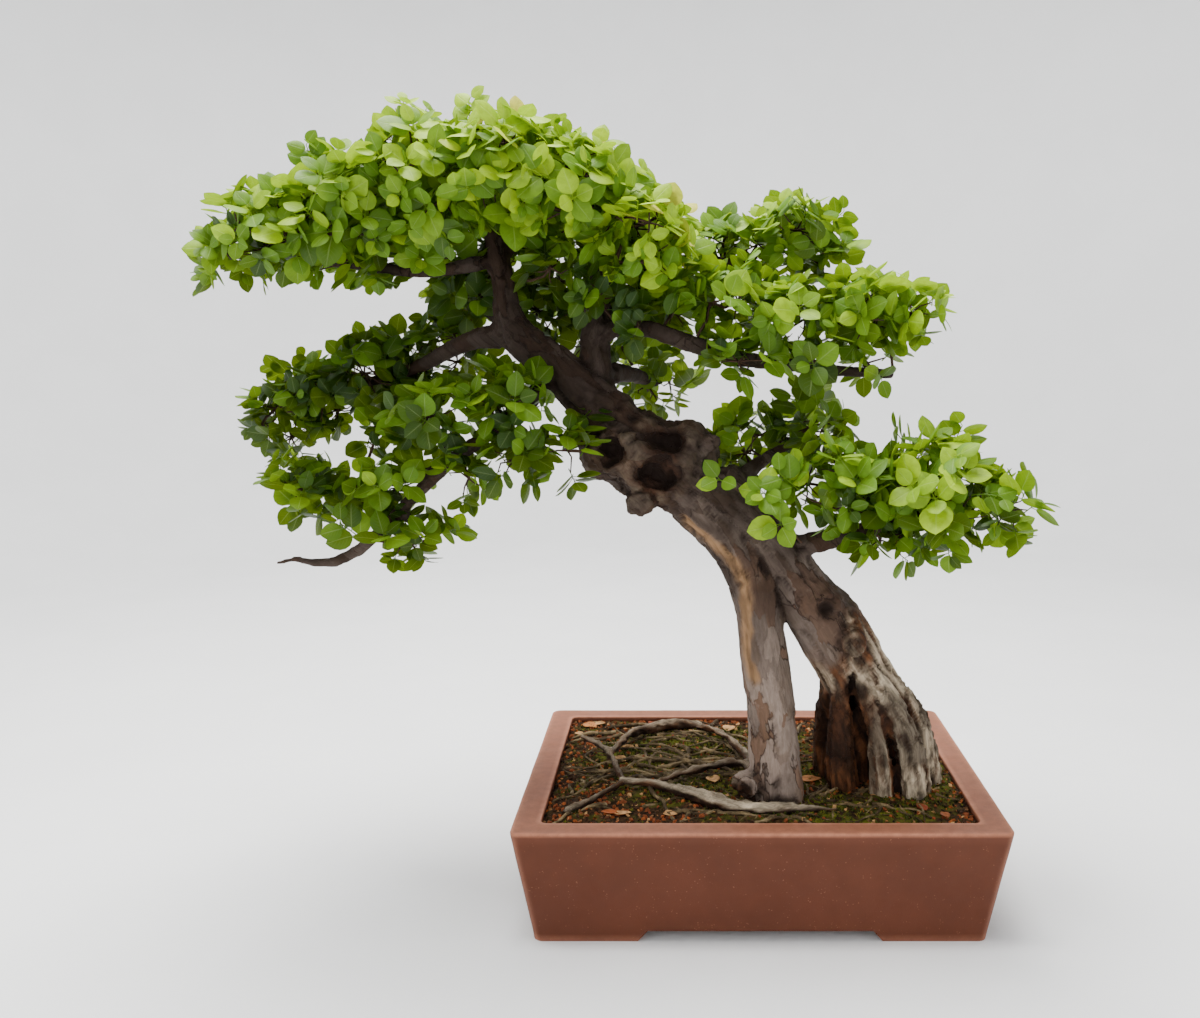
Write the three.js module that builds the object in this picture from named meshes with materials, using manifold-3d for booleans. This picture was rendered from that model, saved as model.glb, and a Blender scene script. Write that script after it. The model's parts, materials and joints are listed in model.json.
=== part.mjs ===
// Chinese sweet plum bonsai (Sageretia theezans) in its shallow clay pot.
// Millimetres, +Z up. The front of the pot looks along -Y, and the tree leans to -X.
// Every place below is measured from the middle of the pot at the height of its feet.
// The finished group is shifted at the end, so that its origin is at the bottom centre
// of the whole object's box.

import * as THREE from 'three';
import { mergeVertices } from 'three/addons/utils/BufferGeometryUtils.js';
import Module from 'manifold-3d';

const wasm = await Module();
wasm.setup();
const Solid = wasm.Manifold;

const MERGE_DISTANCE = 1e-4;    // corners of a mesh that lie closer than this are one corner
const TOLERANCE = 0.03;         // flaws smaller than this are smoothed out of a finished piece
const GAP = 0.4;                // clearance between pieces that touch
const WOOD_GAP = 0.64;          // clearance round the wood, whose faceted sides lie at a slant

// Pot
const POT_LENGTH = 400;
const POT_DEPTH = 312;
const POT_HEIGHT = 98;
const POT_LEAN = 16;            // how far each wall leans in from the rim down to the feet
const POT_WALL = 12;
const POT_FLOOR = 10;
const POT_CORNER_RADIUS = 8;
const ROOM_CORNER_RADIUS = 6;
const CORNER_STEPS = 2;
const RIM_WIDTH = 23;           // the lip reaches this far in from the outer edge
const LIP_HEIGHT = 9;
const LIP_SLOPE = 5;
const RIM_BEVEL = 1.6;
const FOOT_HEIGHT = 9.5;
const FOOT_BAND = 22;           // width of each L-shaped foot along the wall
const FRONT_ARCH_HALF = 99;     // half width of the gap between the feet, at the table
const SIDE_ARCH_HALF = 66;
const ARCH_SLOPE = 8;           // the gap narrows by this much on each side at its top
const ARCH_CORNER_RADIUS = 0.5;
const DRAIN_RADIUS = 13;
const DRAIN_SPACING = 190;
const DRAIN_SIDES = 16;

// Drain screens
const SCREEN_SIZE = 42;
const SCREEN_THICKNESS = 1.6;
const SCREEN_HOLES = 2;
const SCREEN_HOLE_SIZE = 11;
const SCREEN_PITCH = 16;

// Soil
const SOIL_LEVEL = 94;
const SOIL_COLUMNS = 8;
const SOIL_ROWS = 7;
const SOIL_MOUNDS = [           // x, y, height, radius
  [112, -40, 8, 62],
  [10, -70, 6, 45],
  [-60, -84, 5, 40],
  [-110, -70, 4, 40],
  [-60, 60, 3, 70],
  [90, 80, 2, 60],
];
const SOIL_RIPPLES = [          // height, and how far apart along x and y the waves lie
  [0.9, 19, 31],
  [1.1, 41, -17],
];

// Leaves grow in rosettes, each at the tip of a short shoot that stands on a pad's twiggy core.
const SEED = 11;
const LEAF_LENGTH = 37;
const LEAF_WIDTH = 31;
const LEAF_THICKNESS = 2.2;     // at the rib
const LEAF_FOLD = 3.4;          // how far the rib lies below the edges
const LEAF_OUTLINE = [          // share of the length from the root, and of the width from the rib
  [0.43, 0.41],
  [0.74, 0.36],
];
const POINTS_A_LEAF = 8;        // its notch, five points round its edge, and one each side of the rib
const LEAVES_A_SHOOT = 4;
const SHOOT_SPACING = 43.5;
const SHOOT_SHORTEST = 6;
const SHOOT_LONGEST = 36;
const SHOOT_SINK = 10;          // how deep a shoot's foot is sunk in the bough
const SHOOT_RADIUS = 3.2;
const SHOOT_TRIES = 8;
const LEAF_RISE = 11;           // how far the leaf tips rise over the tip of their shoot
const BOUGH_SHARE = 0.4;        // girth of the twiggy bough in a pad, as a share of the pad's height
const BOUGH_SIDES = 6;
const BOUGH_LOBE = 0.1;
const LONE_BOUGH_REACH = 0.4;   // half the length of the bough in a pad with one ellipsoid, as a share
const SITE_TRIES = 2600;
const TOP_TRIES = 500;          // the first tries for spots go to the top of the bough
const TOP_SLOPE = 0.62;         // least upward part of the slope there
const UNDERSIDE_THINNING = 0.25; // shoots under a pad stand further apart by this share
const LEAF_SLOPES = [-0.06, 0.54];
const LARGEST_LEAF = 1.12;
const LEAF_SHRINKING = 0.3;     // how much smaller the leaves of a crowded shoot become
const DEEPEST_ROOT = 60;        // cubic millimetres of a shoot that may lie in its bough

// Small seeded generator, so every build places the leaves alike.
function seededRandom(seed) {
  let state = seed >>> 0;
  return function next() {
    state = (state + 0x6d2b79f5) >>> 0;
    let mixed = Math.imul(state ^ (state >>> 15), state | 1);
    mixed ^= mixed + Math.imul(mixed ^ (mixed >>> 7), mixed | 61);
    return ((mixed ^ (mixed >>> 14)) >>> 0) / 4294967296;
  };
}

// Closed mesh to solid, and back to a geometry.
function solidFrom(geometry) {
  const bare = geometry.clone();
  bare.deleteAttribute('normal');
  bare.deleteAttribute('uv');
  const merged = mergeVertices(bare, MERGE_DISTANCE);
  return new Solid(new wasm.Mesh({
    numProp: 3,
    vertProperties: Float32Array.from(merged.attributes.position.array),
    triVerts: Uint32Array.from(merged.index.array),
  }));
}

function solidFromPoints(points, indices) {
  const geometry = new THREE.BufferGeometry();
  const places = points.flatMap((point) => point.toArray());
  geometry.setAttribute('position', new THREE.Float32BufferAttribute(places, 3));
  geometry.setIndex(indices);
  return solidFrom(geometry);
}

function geometryFrom(solid) {
  const mesh = solid.getMesh();
  const geometry = new THREE.BufferGeometry();
  geometry.setAttribute('position', new THREE.BufferAttribute(mesh.vertProperties, 3));
  geometry.setIndex(new THREE.BufferAttribute(mesh.triVerts, 1));
  geometry.computeVertexNormals();
  return geometry;
}

// The largest body of a solid: scraps that a cut leaves loose are dropped and sealed hollows filled.
function largestBody(solid) {
  const bodies = solid.simplify(TOLERANCE).decompose();
  return bodies.reduce((best, body) => (body.volume() > best.volume() ? body : best));
}

// Skin over a stack of rings that have the same number of points, with a point at each end.
// The rings run anticlockwise as seen from the last one.
function skin(rings, firstPoint, lastPoint) {
  const sides = rings[0].length;
  const points = [...rings.flat(), firstPoint, lastPoint];
  const first = points.length - 2;
  const last = points.length - 1;
  const top = (rings.length - 1) * sides;
  const indices = [];
  for (let side = 0; side < sides; side += 1) {
    const next = (side + 1) % sides;
    indices.push(first, next, side);
    indices.push(last, top + side, top + next);
    for (let ring = 0; ring < rings.length - 1; ring += 1) {
      const low = ring * sides;
      const high = low + sides;
      indices.push(low + side, low + next, high + next);
      indices.push(low + side, high + next, high + side);
    }
  }
  return solidFromPoints(points, indices);
}

// Ring in the shape of a rectangle with round corners.
function roundedRectangle(halfX, halfY, radius, z) {
  const ring = [];
  for (let corner = 0; corner < 4; corner += 1) {
    const signX = corner === 0 || corner === 3 ? 1 : -1;
    const signY = corner < 2 ? 1 : -1;
    for (let step = 0; step <= CORNER_STEPS; step += 1) {
      const angle = ((corner + step / CORNER_STEPS) * Math.PI) / 2;
      ring.push(new THREE.Vector3(
        signX * (halfX - radius) + radius * Math.cos(angle),
        signY * (halfY - radius) + radius * Math.sin(angle),
        z,
      ));
    }
  }
  return ring;
}

// Solid through a list of [halfX, halfY, z] levels, with flat ends.
function rectangularLoft(levels, radius) {
  const rings = levels.map(([halfX, halfY, z]) => roundedRectangle(halfX, halfY, radius, z));
  const bottom = new THREE.Vector3(0, 0, levels[0][2]);
  const top = new THREE.Vector3(0, 0, levels[levels.length - 1][2]);
  return skin(rings, bottom, top);
}

// Pot
const innerHalfX = POT_LENGTH / 2 - RIM_WIDTH;
const innerHalfY = POT_DEPTH / 2 - RIM_WIDTH;
const floorTop = FOOT_HEIGHT + POT_FLOOR;
const lipUnderside = POT_HEIGHT - LIP_HEIGHT;

function potHalfSizes(z) {
  const lean = POT_LEAN * (1 - z / POT_HEIGHT);
  return [POT_LENGTH / 2 - lean, POT_DEPTH / 2 - lean];
}

// Room inside the pot: it narrows under the lip. With a gap it is smaller all round, and may rise
// out of the pot to another height.
function potRoom(gap, height) {
  const [floorX, floorY] = potHalfSizes(floorTop);
  const [wideX, wideY] = potHalfSizes(lipUnderside - LIP_SLOPE);
  return rectangularLoft([
    [floorX - POT_WALL - gap, floorY - POT_WALL - gap, floorTop + gap],
    [wideX - POT_WALL - gap, wideY - POT_WALL - gap, lipUnderside - LIP_SLOPE - gap],
    [innerHalfX - gap, innerHalfY - gap, lipUnderside - gap],
    [innerHalfX - gap, innerHalfY - gap, height],
  ], ROOM_CORNER_RADIUS);
}

function drainHole(x) {
  const hole = new THREE.CylinderGeometry(DRAIN_RADIUS, DRAIN_RADIUS, floorTop * 3, DRAIN_SIDES);
  hole.rotateX(Math.PI / 2);
  hole.translate(x, 0, 0);
  return solidFrom(hole);
}

function potBody() {
  const [footX, footY] = potHalfSizes(0);
  const [bevelX, bevelY] = potHalfSizes(POT_HEIGHT - RIM_BEVEL);
  const outside = rectangularLoft([
    [footX, footY, 0],
    [bevelX, bevelY, POT_HEIGHT - RIM_BEVEL],
    [POT_LENGTH / 2 - RIM_BEVEL, POT_DEPTH / 2 - RIM_BEVEL, POT_HEIGHT],
  ], POT_CORNER_RADIUS);
  const below = -1;
  const archGrowth = (ARCH_SLOPE * -below) / FOOT_HEIGHT;
  const frontArch = rectangularLoft([
    [FRONT_ARCH_HALF + archGrowth, POT_DEPTH, below],
    [FRONT_ARCH_HALF - ARCH_SLOPE, POT_DEPTH, FOOT_HEIGHT],
  ], ARCH_CORNER_RADIUS);
  const sideArch = rectangularLoft([
    [POT_LENGTH, SIDE_ARCH_HALF + archGrowth, below],
    [POT_LENGTH, SIDE_ARCH_HALF - ARCH_SLOPE, FOOT_HEIGHT],
  ], ARCH_CORNER_RADIUS);
  const underside = rectangularLoft([
    [footX - FOOT_BAND, footY - FOOT_BAND, below],
    [footX - FOOT_BAND, footY - FOOT_BAND, FOOT_HEIGHT],
  ], POT_CORNER_RADIUS);
  return outside
    .subtract(potRoom(0, 2 * POT_HEIGHT))
    .subtract(frontArch.add(sideArch).add(underside))
    .subtract(drainHole(-DRAIN_SPACING / 2).add(drainHole(DRAIN_SPACING / 2)));
}

// Upright block with its middle at x, y, z.
function block(width, depth, height, x, y, z) {
  const box = new THREE.BoxGeometry(width, depth, height);
  box.translate(x, y, z);
  return solidFrom(box);
}

// Square plastic screen over a drain hole, with square openings. The room for it in the soil is
// larger all round, and plain.
const screenMiddle = floorTop + GAP + SCREEN_THICKNESS / 2;

function screenRoom(x) {
  const size = SCREEN_SIZE + 2 * GAP;
  return block(size, size, SCREEN_THICKNESS + 2 * GAP, x, 0, screenMiddle);
}

function drainScreen(x) {
  const openings = [];
  const middle = (SCREEN_HOLES - 1) / 2;
  for (let column = 0; column < SCREEN_HOLES; column += 1) {
    for (let row = 0; row < SCREEN_HOLES; row += 1) {
      const across = x + (column - middle) * SCREEN_PITCH;
      const along = (row - middle) * SCREEN_PITCH;
      openings.push(block(
        SCREEN_HOLE_SIZE, SCREEN_HOLE_SIZE, 3 * SCREEN_THICKNESS, across, along, screenMiddle));
    }
  }
  const plate = block(SCREEN_SIZE, SCREEN_SIZE, SCREEN_THICKNESS, x, 0, screenMiddle);
  return plate.subtract(Solid.union(openings));
}

// Soil: the pot's room under a gently mounded top, with holes for the wood and the screens.
function soilHeight(x, y) {
  const ripple = SOIL_RIPPLES.reduce(
    (height, [rise, waveX, waveY]) => height + rise * Math.sin(x / waveX + y / waveY), 0);
  return SOIL_MOUNDS.reduce(
    (height, [mx, my, rise, radius]) =>
      height + rise * Math.exp(-((x - mx) ** 2 + (y - my) ** 2) / radius ** 2),
    SOIL_LEVEL + ripple,
  );
}

function soilRelief() {
  const slab = new THREE.BoxGeometry(POT_LENGTH, POT_DEPTH, POT_HEIGHT, SOIL_COLUMNS, SOIL_ROWS, 1);
  const position = slab.attributes.position;
  for (let i = 0; i < position.count; i += 1) {
    const raised = position.getZ(i) > 0;
    position.setZ(i, raised ? soilHeight(position.getX(i), position.getY(i)) : 0);
  }
  return solidFrom(slab);
}

function soilBody(woodRoom) {
  return potRoom(GAP, 2 * POT_HEIGHT)
    .intersect(soilRelief())
    .subtract(screenRoom(-DRAIN_SPACING / 2).add(screenRoom(DRAIN_SPACING / 2)))
    .subtract(woodRoom);
}

// Wood. Each limb is a route of [x, y, z, radius] points that a smooth curve passes through, with
// the number of sides of its section, the steps along it, and how deeply its bark is lobed.
const TRUNK = [
  // living trunk: from the soil up to the burl
  { sides: 11, steps: 12, lobe: 0.13, route: [
    [17, -74, 82, 29], [17, -76, 100, 24], [15, -77, 150, 21], [10, -76, 184, 21],
    [4, -74, 226, 21], [-1, -72, 257, 21], [-6, -71, 284, 22], [-15, -70, 310, 23],
    [-31, -68, 334, 25], [-53, -66, 357, 28], [-76, -64, 376, 31]] },
  // second leg: a hollow old base that joins the trunk below the burl
  { sides: 10, steps: 8, lobe: 0.14, route: [
    [90, -50, 178, 25], [74, -54, 217, 30], [58, -57, 245, 30], [43, -60, 267, 27],
    [29, -63, 289, 25], [14, -66, 310, 24], [-11, -66, 335, 26], [-39, -66, 358, 28]] },
  // stems above the burl
  { sides: 8, steps: 11, lobe: 0.12, route: [
    [-92, -60, 392, 30], [-127, -58, 420, 24], [-149, -56, 439, 20], [-166, -54, 457, 18],
    [-186, -52, 473, 17], [-202, -50, 488, 16], [-208, -48, 507, 13], [-212, -46, 531, 12],
    [-216, -44, 553, 11], [-221, -42, 575, 8]] },
  { sides: 7, steps: 8, lobe: 0.12, route: [
    [-95, -58, 388, 28], [-123, -52, 415, 21], [-135, -46, 444, 17], [-137, -40, 477, 15],
    [-134, -34, 510, 13], [-127, -32, 546, 10], [-122, -30, 572, 7]] },
];

// Ridges of bare deadwood that spread from the second leg down into the soil.
const RIDGES = [
  [[76, -50, 227, 13], [68, -44, 196, 12], [66, -36, 161, 13], [62, -26, 126, 12], [67, -16, 86, 15]],
  [[78, -60, 221, 13], [72, -66, 182, 12], [71, -64, 146, 13], [78, -58, 84, 16]],
  [[86, -66, 218, 12], [93, -76, 182, 9], [102, -78, 145, 10], [110, -72, 84, 14]],
  [[88, -62, 217, 12], [108, -72, 184, 12], [125, -76, 153, 13], [136, -68, 86, 15]],
  [[90, -54, 217, 12], [114, -52, 188, 12], [138, -50, 162, 12], [149, -48, 129, 12], [153, -42, 86, 15]],
  [[90, -45, 206, 14], [110, -30, 173, 14], [130, -18, 133, 15], [139, -8, 86, 17]],
  [[86, -42, 204, 14], [94, -26, 163, 15], [101, -12, 118, 16], [104, -4, 84, 18]],
  // decayed heartwood between the ridges
  [[84, -50, 222, 16], [86, -46, 170, 20], [82, -40, 125, 22], [84, -36, 86, 24]],
  [[96, -50, 214, 14], [112, -46, 170, 21], [122, -40, 125, 26], [124, -34, 86, 28]],
].map((route) => ({ sides: 6, steps: 4, lobe: 0.2, route }));

const BRANCHES = [
  // to the right of the stems, ending in a dead stub, and its fork
  [[-137, -42, 481, 10], [-111, -56, 493, 8], [-78, -62, 487, 8], [-30, -60, 469, 8],
    [10, -48, 463, 7], [62, -39, 456, 6], [113, -40, 453, 5]],
  [[-127, -32, 541, 9], [-82, -14, 548, 7], [-27, 0, 547, 5.5], [6, 14, 546, 4.5]],
  // to the left, between the crown and the lower pads
  [[-205, -50, 484, 12], [-241, -36, 481, 9], [-270, -18, 468, 8], [-305, -4, 452, 6.5],
    [-366, 10, 440, 4.5]],
  // under the long left side of the crown
  [[-213, -45, 545, 9], [-240, -53, 541, 7], [-278, -57, 534, 5], [-305, -56, 540, 6],
    [-360, -51, 545, 5.5], [-416, -48, 556, 4]],
  // lower left, ending in a bare dead tip, with two side twigs
  [[-166, -58, 455, 10], [-195, -72, 426, 8], [-227, -80, 401, 7], [-261, -78, 376, 7],
    [-296, -74, 341, 6], [-322, -72, 316, 6], [-344, -70, 301, 5.5], [-367, -69, 297, 4],
    [-383, -68, 301, 3.5], [-402, -68, 297, 2.2]],
  [[-259, -77, 378, 6], [-295, -66, 366, 4.5], [-339, -62, 358, 4], [-372, -60, 356, 3]],
  [[-296, -72, 341, 5], [-280, -78, 330, 4], [-264, -80, 318, 3]],
  // lower right, from the trunk
  [[2, -62, 310, 15], [32, -72, 312, 11], [62, -86, 322, 9], [92, -96, 332, 7],
    [126, -100, 342, 5], [170, -102, 346, 4]],
  [[-34, -60, 350, 15], [-10, -42, 368, 9], [12, -26, 384, 6], [34, -12, 392, 4]],
  // towards the back
  [[-134, -46, 448, 13], [-115, -10, 454, 9], [-97, 30, 446, 7], [-88, 48, 442, 5]],
  [[-205, -48, 495, 12], [-226, -10, 505, 8], [-246, 35, 512, 6], [-258, 62, 516, 5]],
  [[-213, -44, 548, 10], [-201, -10, 572, 7], [-189, 20, 588, 5]],
].map((route) => ({ sides: 5, steps: route.length, lobe: 0.08, route }));

// Roots that lie in the soil's surface. A long pale ridge runs along the front and forks at its
// left end, one prong curves round the back to the trunk, and two more creep out from the trunk.
const ROOTS = [
  [[68, -102, 95, 4], [40, -104, 97, 5.5], [12, -106, 97, 9], [-12, -108, 98, 9.5],
    [-36, -98, 101, 9], [-62, -80, 103, 7.5], [-92, -66, 105, 5.5], [-118, -62, 105, 5]],
  [[-112, -62, 105, 5], [-130, -78, 101, 4.5], [-144, -94, 98, 4.5], [-160, -110, 97, 5]],
  [[-116, -58, 105, 5], [-123, -26, 107, 5], [-130, -4, 109, 5], [-144, 20, 110, 4.5],
    [-160, 44, 108, 4]],
  [[-128, -4, 108, 4.5], [-123, 28, 107, 5], [-112, 62, 106, 6], [-90, 88, 103, 8],
    [-62, 104, 101, 7], [-38, 84, 103, 5], [-22, 54, 105, 5], [-8, 12, 105, 5.5],
    [6, -48, 106, 9]],
  [[4, -58, 105, 9], [-10, -20, 106, 6], [-30, -24, 106, 5.5], [-52, -36, 105, 5],
    [-72, -46, 103, 4.5], [-88, -58, 101, 4]],
].map((route) => ({ sides: 5, steps: route.length, lobe: 0.1, route }));

const LIMBS = [...TRUNK, ...RIDGES, ...BRANCHES, ...ROOTS];

// Rounded lumps of wood: x, y, z, half sizes along x, y and z, and how finely it is faceted. The
// first three make the burl.
const LUMPS = [
  [-119, -62, 391, 31, 33, 29, 1],
  [-92, -60, 379, 38, 36, 32, 1],
  [-64, -60, 388, 33, 32, 28, 1],
  [-97, -82, 349, 15, 15, 14, 0],
  [-40, -78, 399, 10, 10, 9, 0],
  [79, -80, 233, 13, 9, 15, 1],
  [78, -66, 256, 9, 9, 9, 0],
  [-9, -86, 112, 16, 13, 14, 0],
];

// Hollows rotted into the wood, given in the same way. The first looks like an eye.
const HOLLOWS = [
  [-121, -98, 392, 10, 20, 14, 1],
  [-76, -92, 402, 22, 20, 8, 0],
  [-82, -98, 374, 21, 20, 14, 1],
  [56, -84, 262, 9, 10, 8, 0],
  [80, -84, 190, 5, 26, 26, 0],
  [82, -60, 176, 3.5, 70, 9, 0],
];

// Strip of living bark that arches over the burl's hollows.
const ARCH = { sides: 6, steps: 6, lobe: 0, route: [
  [-112, -88, 404, 6], [-98, -94, 394, 6], [-82, -95, 393, 6], [-66, -93, 391, 6], [-50, -87, 377, 6],
  [-42, -78, 364, 6]] };

// Lobed tube along a limb's route. Growing it makes the same tube stouter all round. Three lobes
// and two wind along it in opposite ways, by these angles a step, so that no two limbs look alike.
const THREE_LOBES_TURN = 0.72;
const TWO_LOBES_TURN = -0.9;
const TWO_LOBES_SHARE = 0.7;
const FIRST_SIDE = [0.31, -0.93, 0.2];
const START_CAP = 0.4;          // how far the ends bulge, as a share of the girth
const END_CAP = 0.6;

function limb({ sides, steps, lobe, route }, grow) {
  const path = new THREE.CatmullRomCurve3(route.map(([x, y, z]) => new THREE.Vector3(x, y, z)));
  const girth = new THREE.CatmullRomCurve3(route.map((p) => new THREE.Vector3(p[3], 0, 0)));
  const rings = [];
  const side = new THREE.Vector3(...FIRST_SIDE);
  for (let step = 0; step <= steps; step += 1) {
    const t = step / steps;
    const centre = path.getPoint(t);
    const along = path.getTangent(t);
    side.addScaledVector(along, -side.dot(along)).normalize();
    const across = new THREE.Vector3().crossVectors(along, side);
    const ring = [];
    for (let corner = 0; corner < sides; corner += 1) {
      const angle = (corner / sides) * Math.PI * 2;
      const swell = Math.cos(3 * angle + step * THREE_LOBES_TURN + route[0][0])
        + TWO_LOBES_SHARE * Math.sin(2 * angle + step * TWO_LOBES_TURN + route[0][1]);
      const reach = girth.getPoint(t).x * (1 + (lobe * swell) / (1 + TWO_LOBES_SHARE)) + grow;
      ring.push(centre.clone()
        .addScaledVector(side, reach * Math.cos(angle))
        .addScaledVector(across, reach * Math.sin(angle)));
    }
    rings.push(ring);
  }
  const first = route[0];
  const last = route[route.length - 1];
  const start = path.getPoint(0).addScaledVector(path.getTangent(0), -first[3] * START_CAP - grow);
  const end = path.getPoint(1).addScaledVector(path.getTangent(1), last[3] * END_CAP + grow);
  return skin(rings, start, end);
}

// Ball of triangles stretched to three half sizes.
function ellipsoid([x, y, z, rx, ry, rz, detail], grow) {
  const ball = new THREE.IcosahedronGeometry(1, detail);
  ball.scale(rx + grow, ry + grow, rz + grow);
  ball.translate(x, y, z);
  return solidFrom(ball);
}

function woodBody() {
  const limbs = LIMBS.map((shape) => limb(shape, 0));
  const lumps = LUMPS.map((shape) => ellipsoid(shape, 0));
  const hollows = HOLLOWS.map((shape) => ellipsoid(shape, 0));
  const grown = Solid.union([...limbs, ...lumps]);
  return largestBody(grown.subtract(Solid.union(hollows)).add(limb(ARCH, 0)));
}

// Room that the wood needs in the soil and among the leaves.
function woodClearance() {
  const limbs = [...LIMBS, ARCH].map((shape) => limb(shape, WOOD_GAP));
  const lumps = LUMPS.map((shape) => ellipsoid(shape, WOOD_GAP));
  return Solid.union([...limbs, ...lumps]);
}

// Foliage pads. Each is a list of ellipsoids, x, y, z and half sizes, that the leaf tips reach. A
// bough runs through their middles in turn.
const BRIGHT = 0xa2bd36;
const MIDDLE = 0x7da132;
const SHADED = 0x55782a;
const PADS = [
  { name: 'foliage_crown_left_tip', colour: BRIGHT, blobs: [
    [-434, -45, 556, 44, 52, 33], [-388, -84, 575, 50, 54, 44], [-384, -6, 578, 52, 58, 46]] },
  { name: 'foliage_crown_left', colour: BRIGHT, blobs: [
    [-326, -2, 590, 54, 62, 50], [-322, -94, 586, 54, 58, 48], [-264, -98, 602, 54, 58, 52],
    [-266, 2, 604, 56, 62, 54]] },
  { name: 'foliage_crown_top', colour: BRIGHT, blobs: [
    [-202, 22, 608, 56, 66, 54], [-200, -96, 603, 56, 62, 52], [-144, -92, 596, 54, 60, 48],
    [-144, 14, 600, 54, 62, 50]] },
  { name: 'foliage_crown_right', colour: BRIGHT, blobs: [
    [-93, 2, 578, 46, 60, 44], [-93, -84, 574, 46, 58, 44], [-76, -62, 546, 38, 56, 36]] },
  { name: 'foliage_crown_under', colour: SHADED, blobs: [
    [-170, 22, 532, 42, 52, 31], [-111, 22, 529, 49, 56, 31]] },
  { name: 'foliage_right_upper', colour: MIDDLE, blobs: [
    [-15, 22, 563, 42, 58, 32], [39, 22, 574, 51, 62, 36]] },
  { name: 'foliage_right_middle_inner', colour: MIDDLE, blobs: [
    [-32, -48, 512, 42, 60, 32], [23, -48, 500, 43, 62, 34]] },
  { name: 'foliage_right_middle_outer', colour: BRIGHT, blobs: [
    [128, -35, 504, 37, 50, 33], [84, -35, 500, 44, 68, 42], [92, -35, 462, 36, 46, 30]] },
  { name: 'foliage_right_lower_inner', colour: SHADED, blobs: [
    [-3, 0, 388, 44, 48, 40], [50, 0, 402, 40, 52, 34]] },
  { name: 'foliage_right_lower_middle', colour: MIDDLE, blobs: [
    [54, -102, 366, 46, 54, 44], [92, -96, 342, 40, 52, 34]] },
  { name: 'foliage_right_lower_outer', colour: BRIGHT, blobs: [
    [188, -100, 350, 42, 50, 36], [136, -100, 370, 52, 64, 50], [140, -100, 322, 38, 46, 30]] },
  { name: 'foliage_left_middle_outer', colour: MIDDLE, blobs: [
    [-418, 10, 424, 38, 50, 40], [-380, 10, 442, 38, 58, 38]] },
  { name: 'foliage_left_middle_inner', colour: SHADED, blobs: [
    [-330, 10, 453, 46, 58, 43], [-268, 10, 471, 42, 54, 40]] },
  { name: 'foliage_left_front', colour: MIDDLE, blobs: [
    [-257, -96, 420, 46, 44, 37], [-203, -98, 436, 44, 44, 38], [-164, -98, 390, 34, 36, 32]] },
  { name: 'foliage_left_lower_outer', colour: MIDDLE, blobs: [
    [-378, -62, 357, 46, 44, 32]] },
  { name: 'foliage_left_lower_inner', colour: MIDDLE, blobs: [
    [-297, -74, 360, 42, 46, 34], [-290, -74, 318, 52, 44, 30]] },
  { name: 'foliage_back_right', colour: SHADED, blobs: [
    [-88, 64, 443, 40, 48, 36]] },
  { name: 'foliage_back_left', colour: SHADED, blobs: [
    [-262, 84, 516, 44, 52, 38]] },
];

// Young shoot that stands out over the crown: foot, tip and the slope of its leaves.
const SPROUT = {
  foot: new THREE.Vector3(-272, -97, 604),
  tip: new THREE.Vector3(-275, -97, 662),
  slopes: [0.5, 1.0, 0.7, 1.15],
  size: 0.66,
};

// Bough of a pad, which stands for its mass of twigs: stout in each ellipsoid, slimmer between.
function boughOf(pad, grow) {
  const route = pad.blobs.map(([x, y, z, , , rz]) => [x, y, z, rz * BOUGH_SHARE]);
  if (route.length === 1) {
    const [x, y, z, radius] = route[0];
    const reach = pad.blobs[0][4] * LONE_BOUGH_REACH;
    route.splice(0, 1, [x, y - reach, z, radius], [x, y + reach, z, radius]);
  }
  return limb({ sides: BOUGH_SIDES, steps: 2 * (route.length - 1), lobe: BOUGH_LOBE, route }, grow);
}

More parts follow.
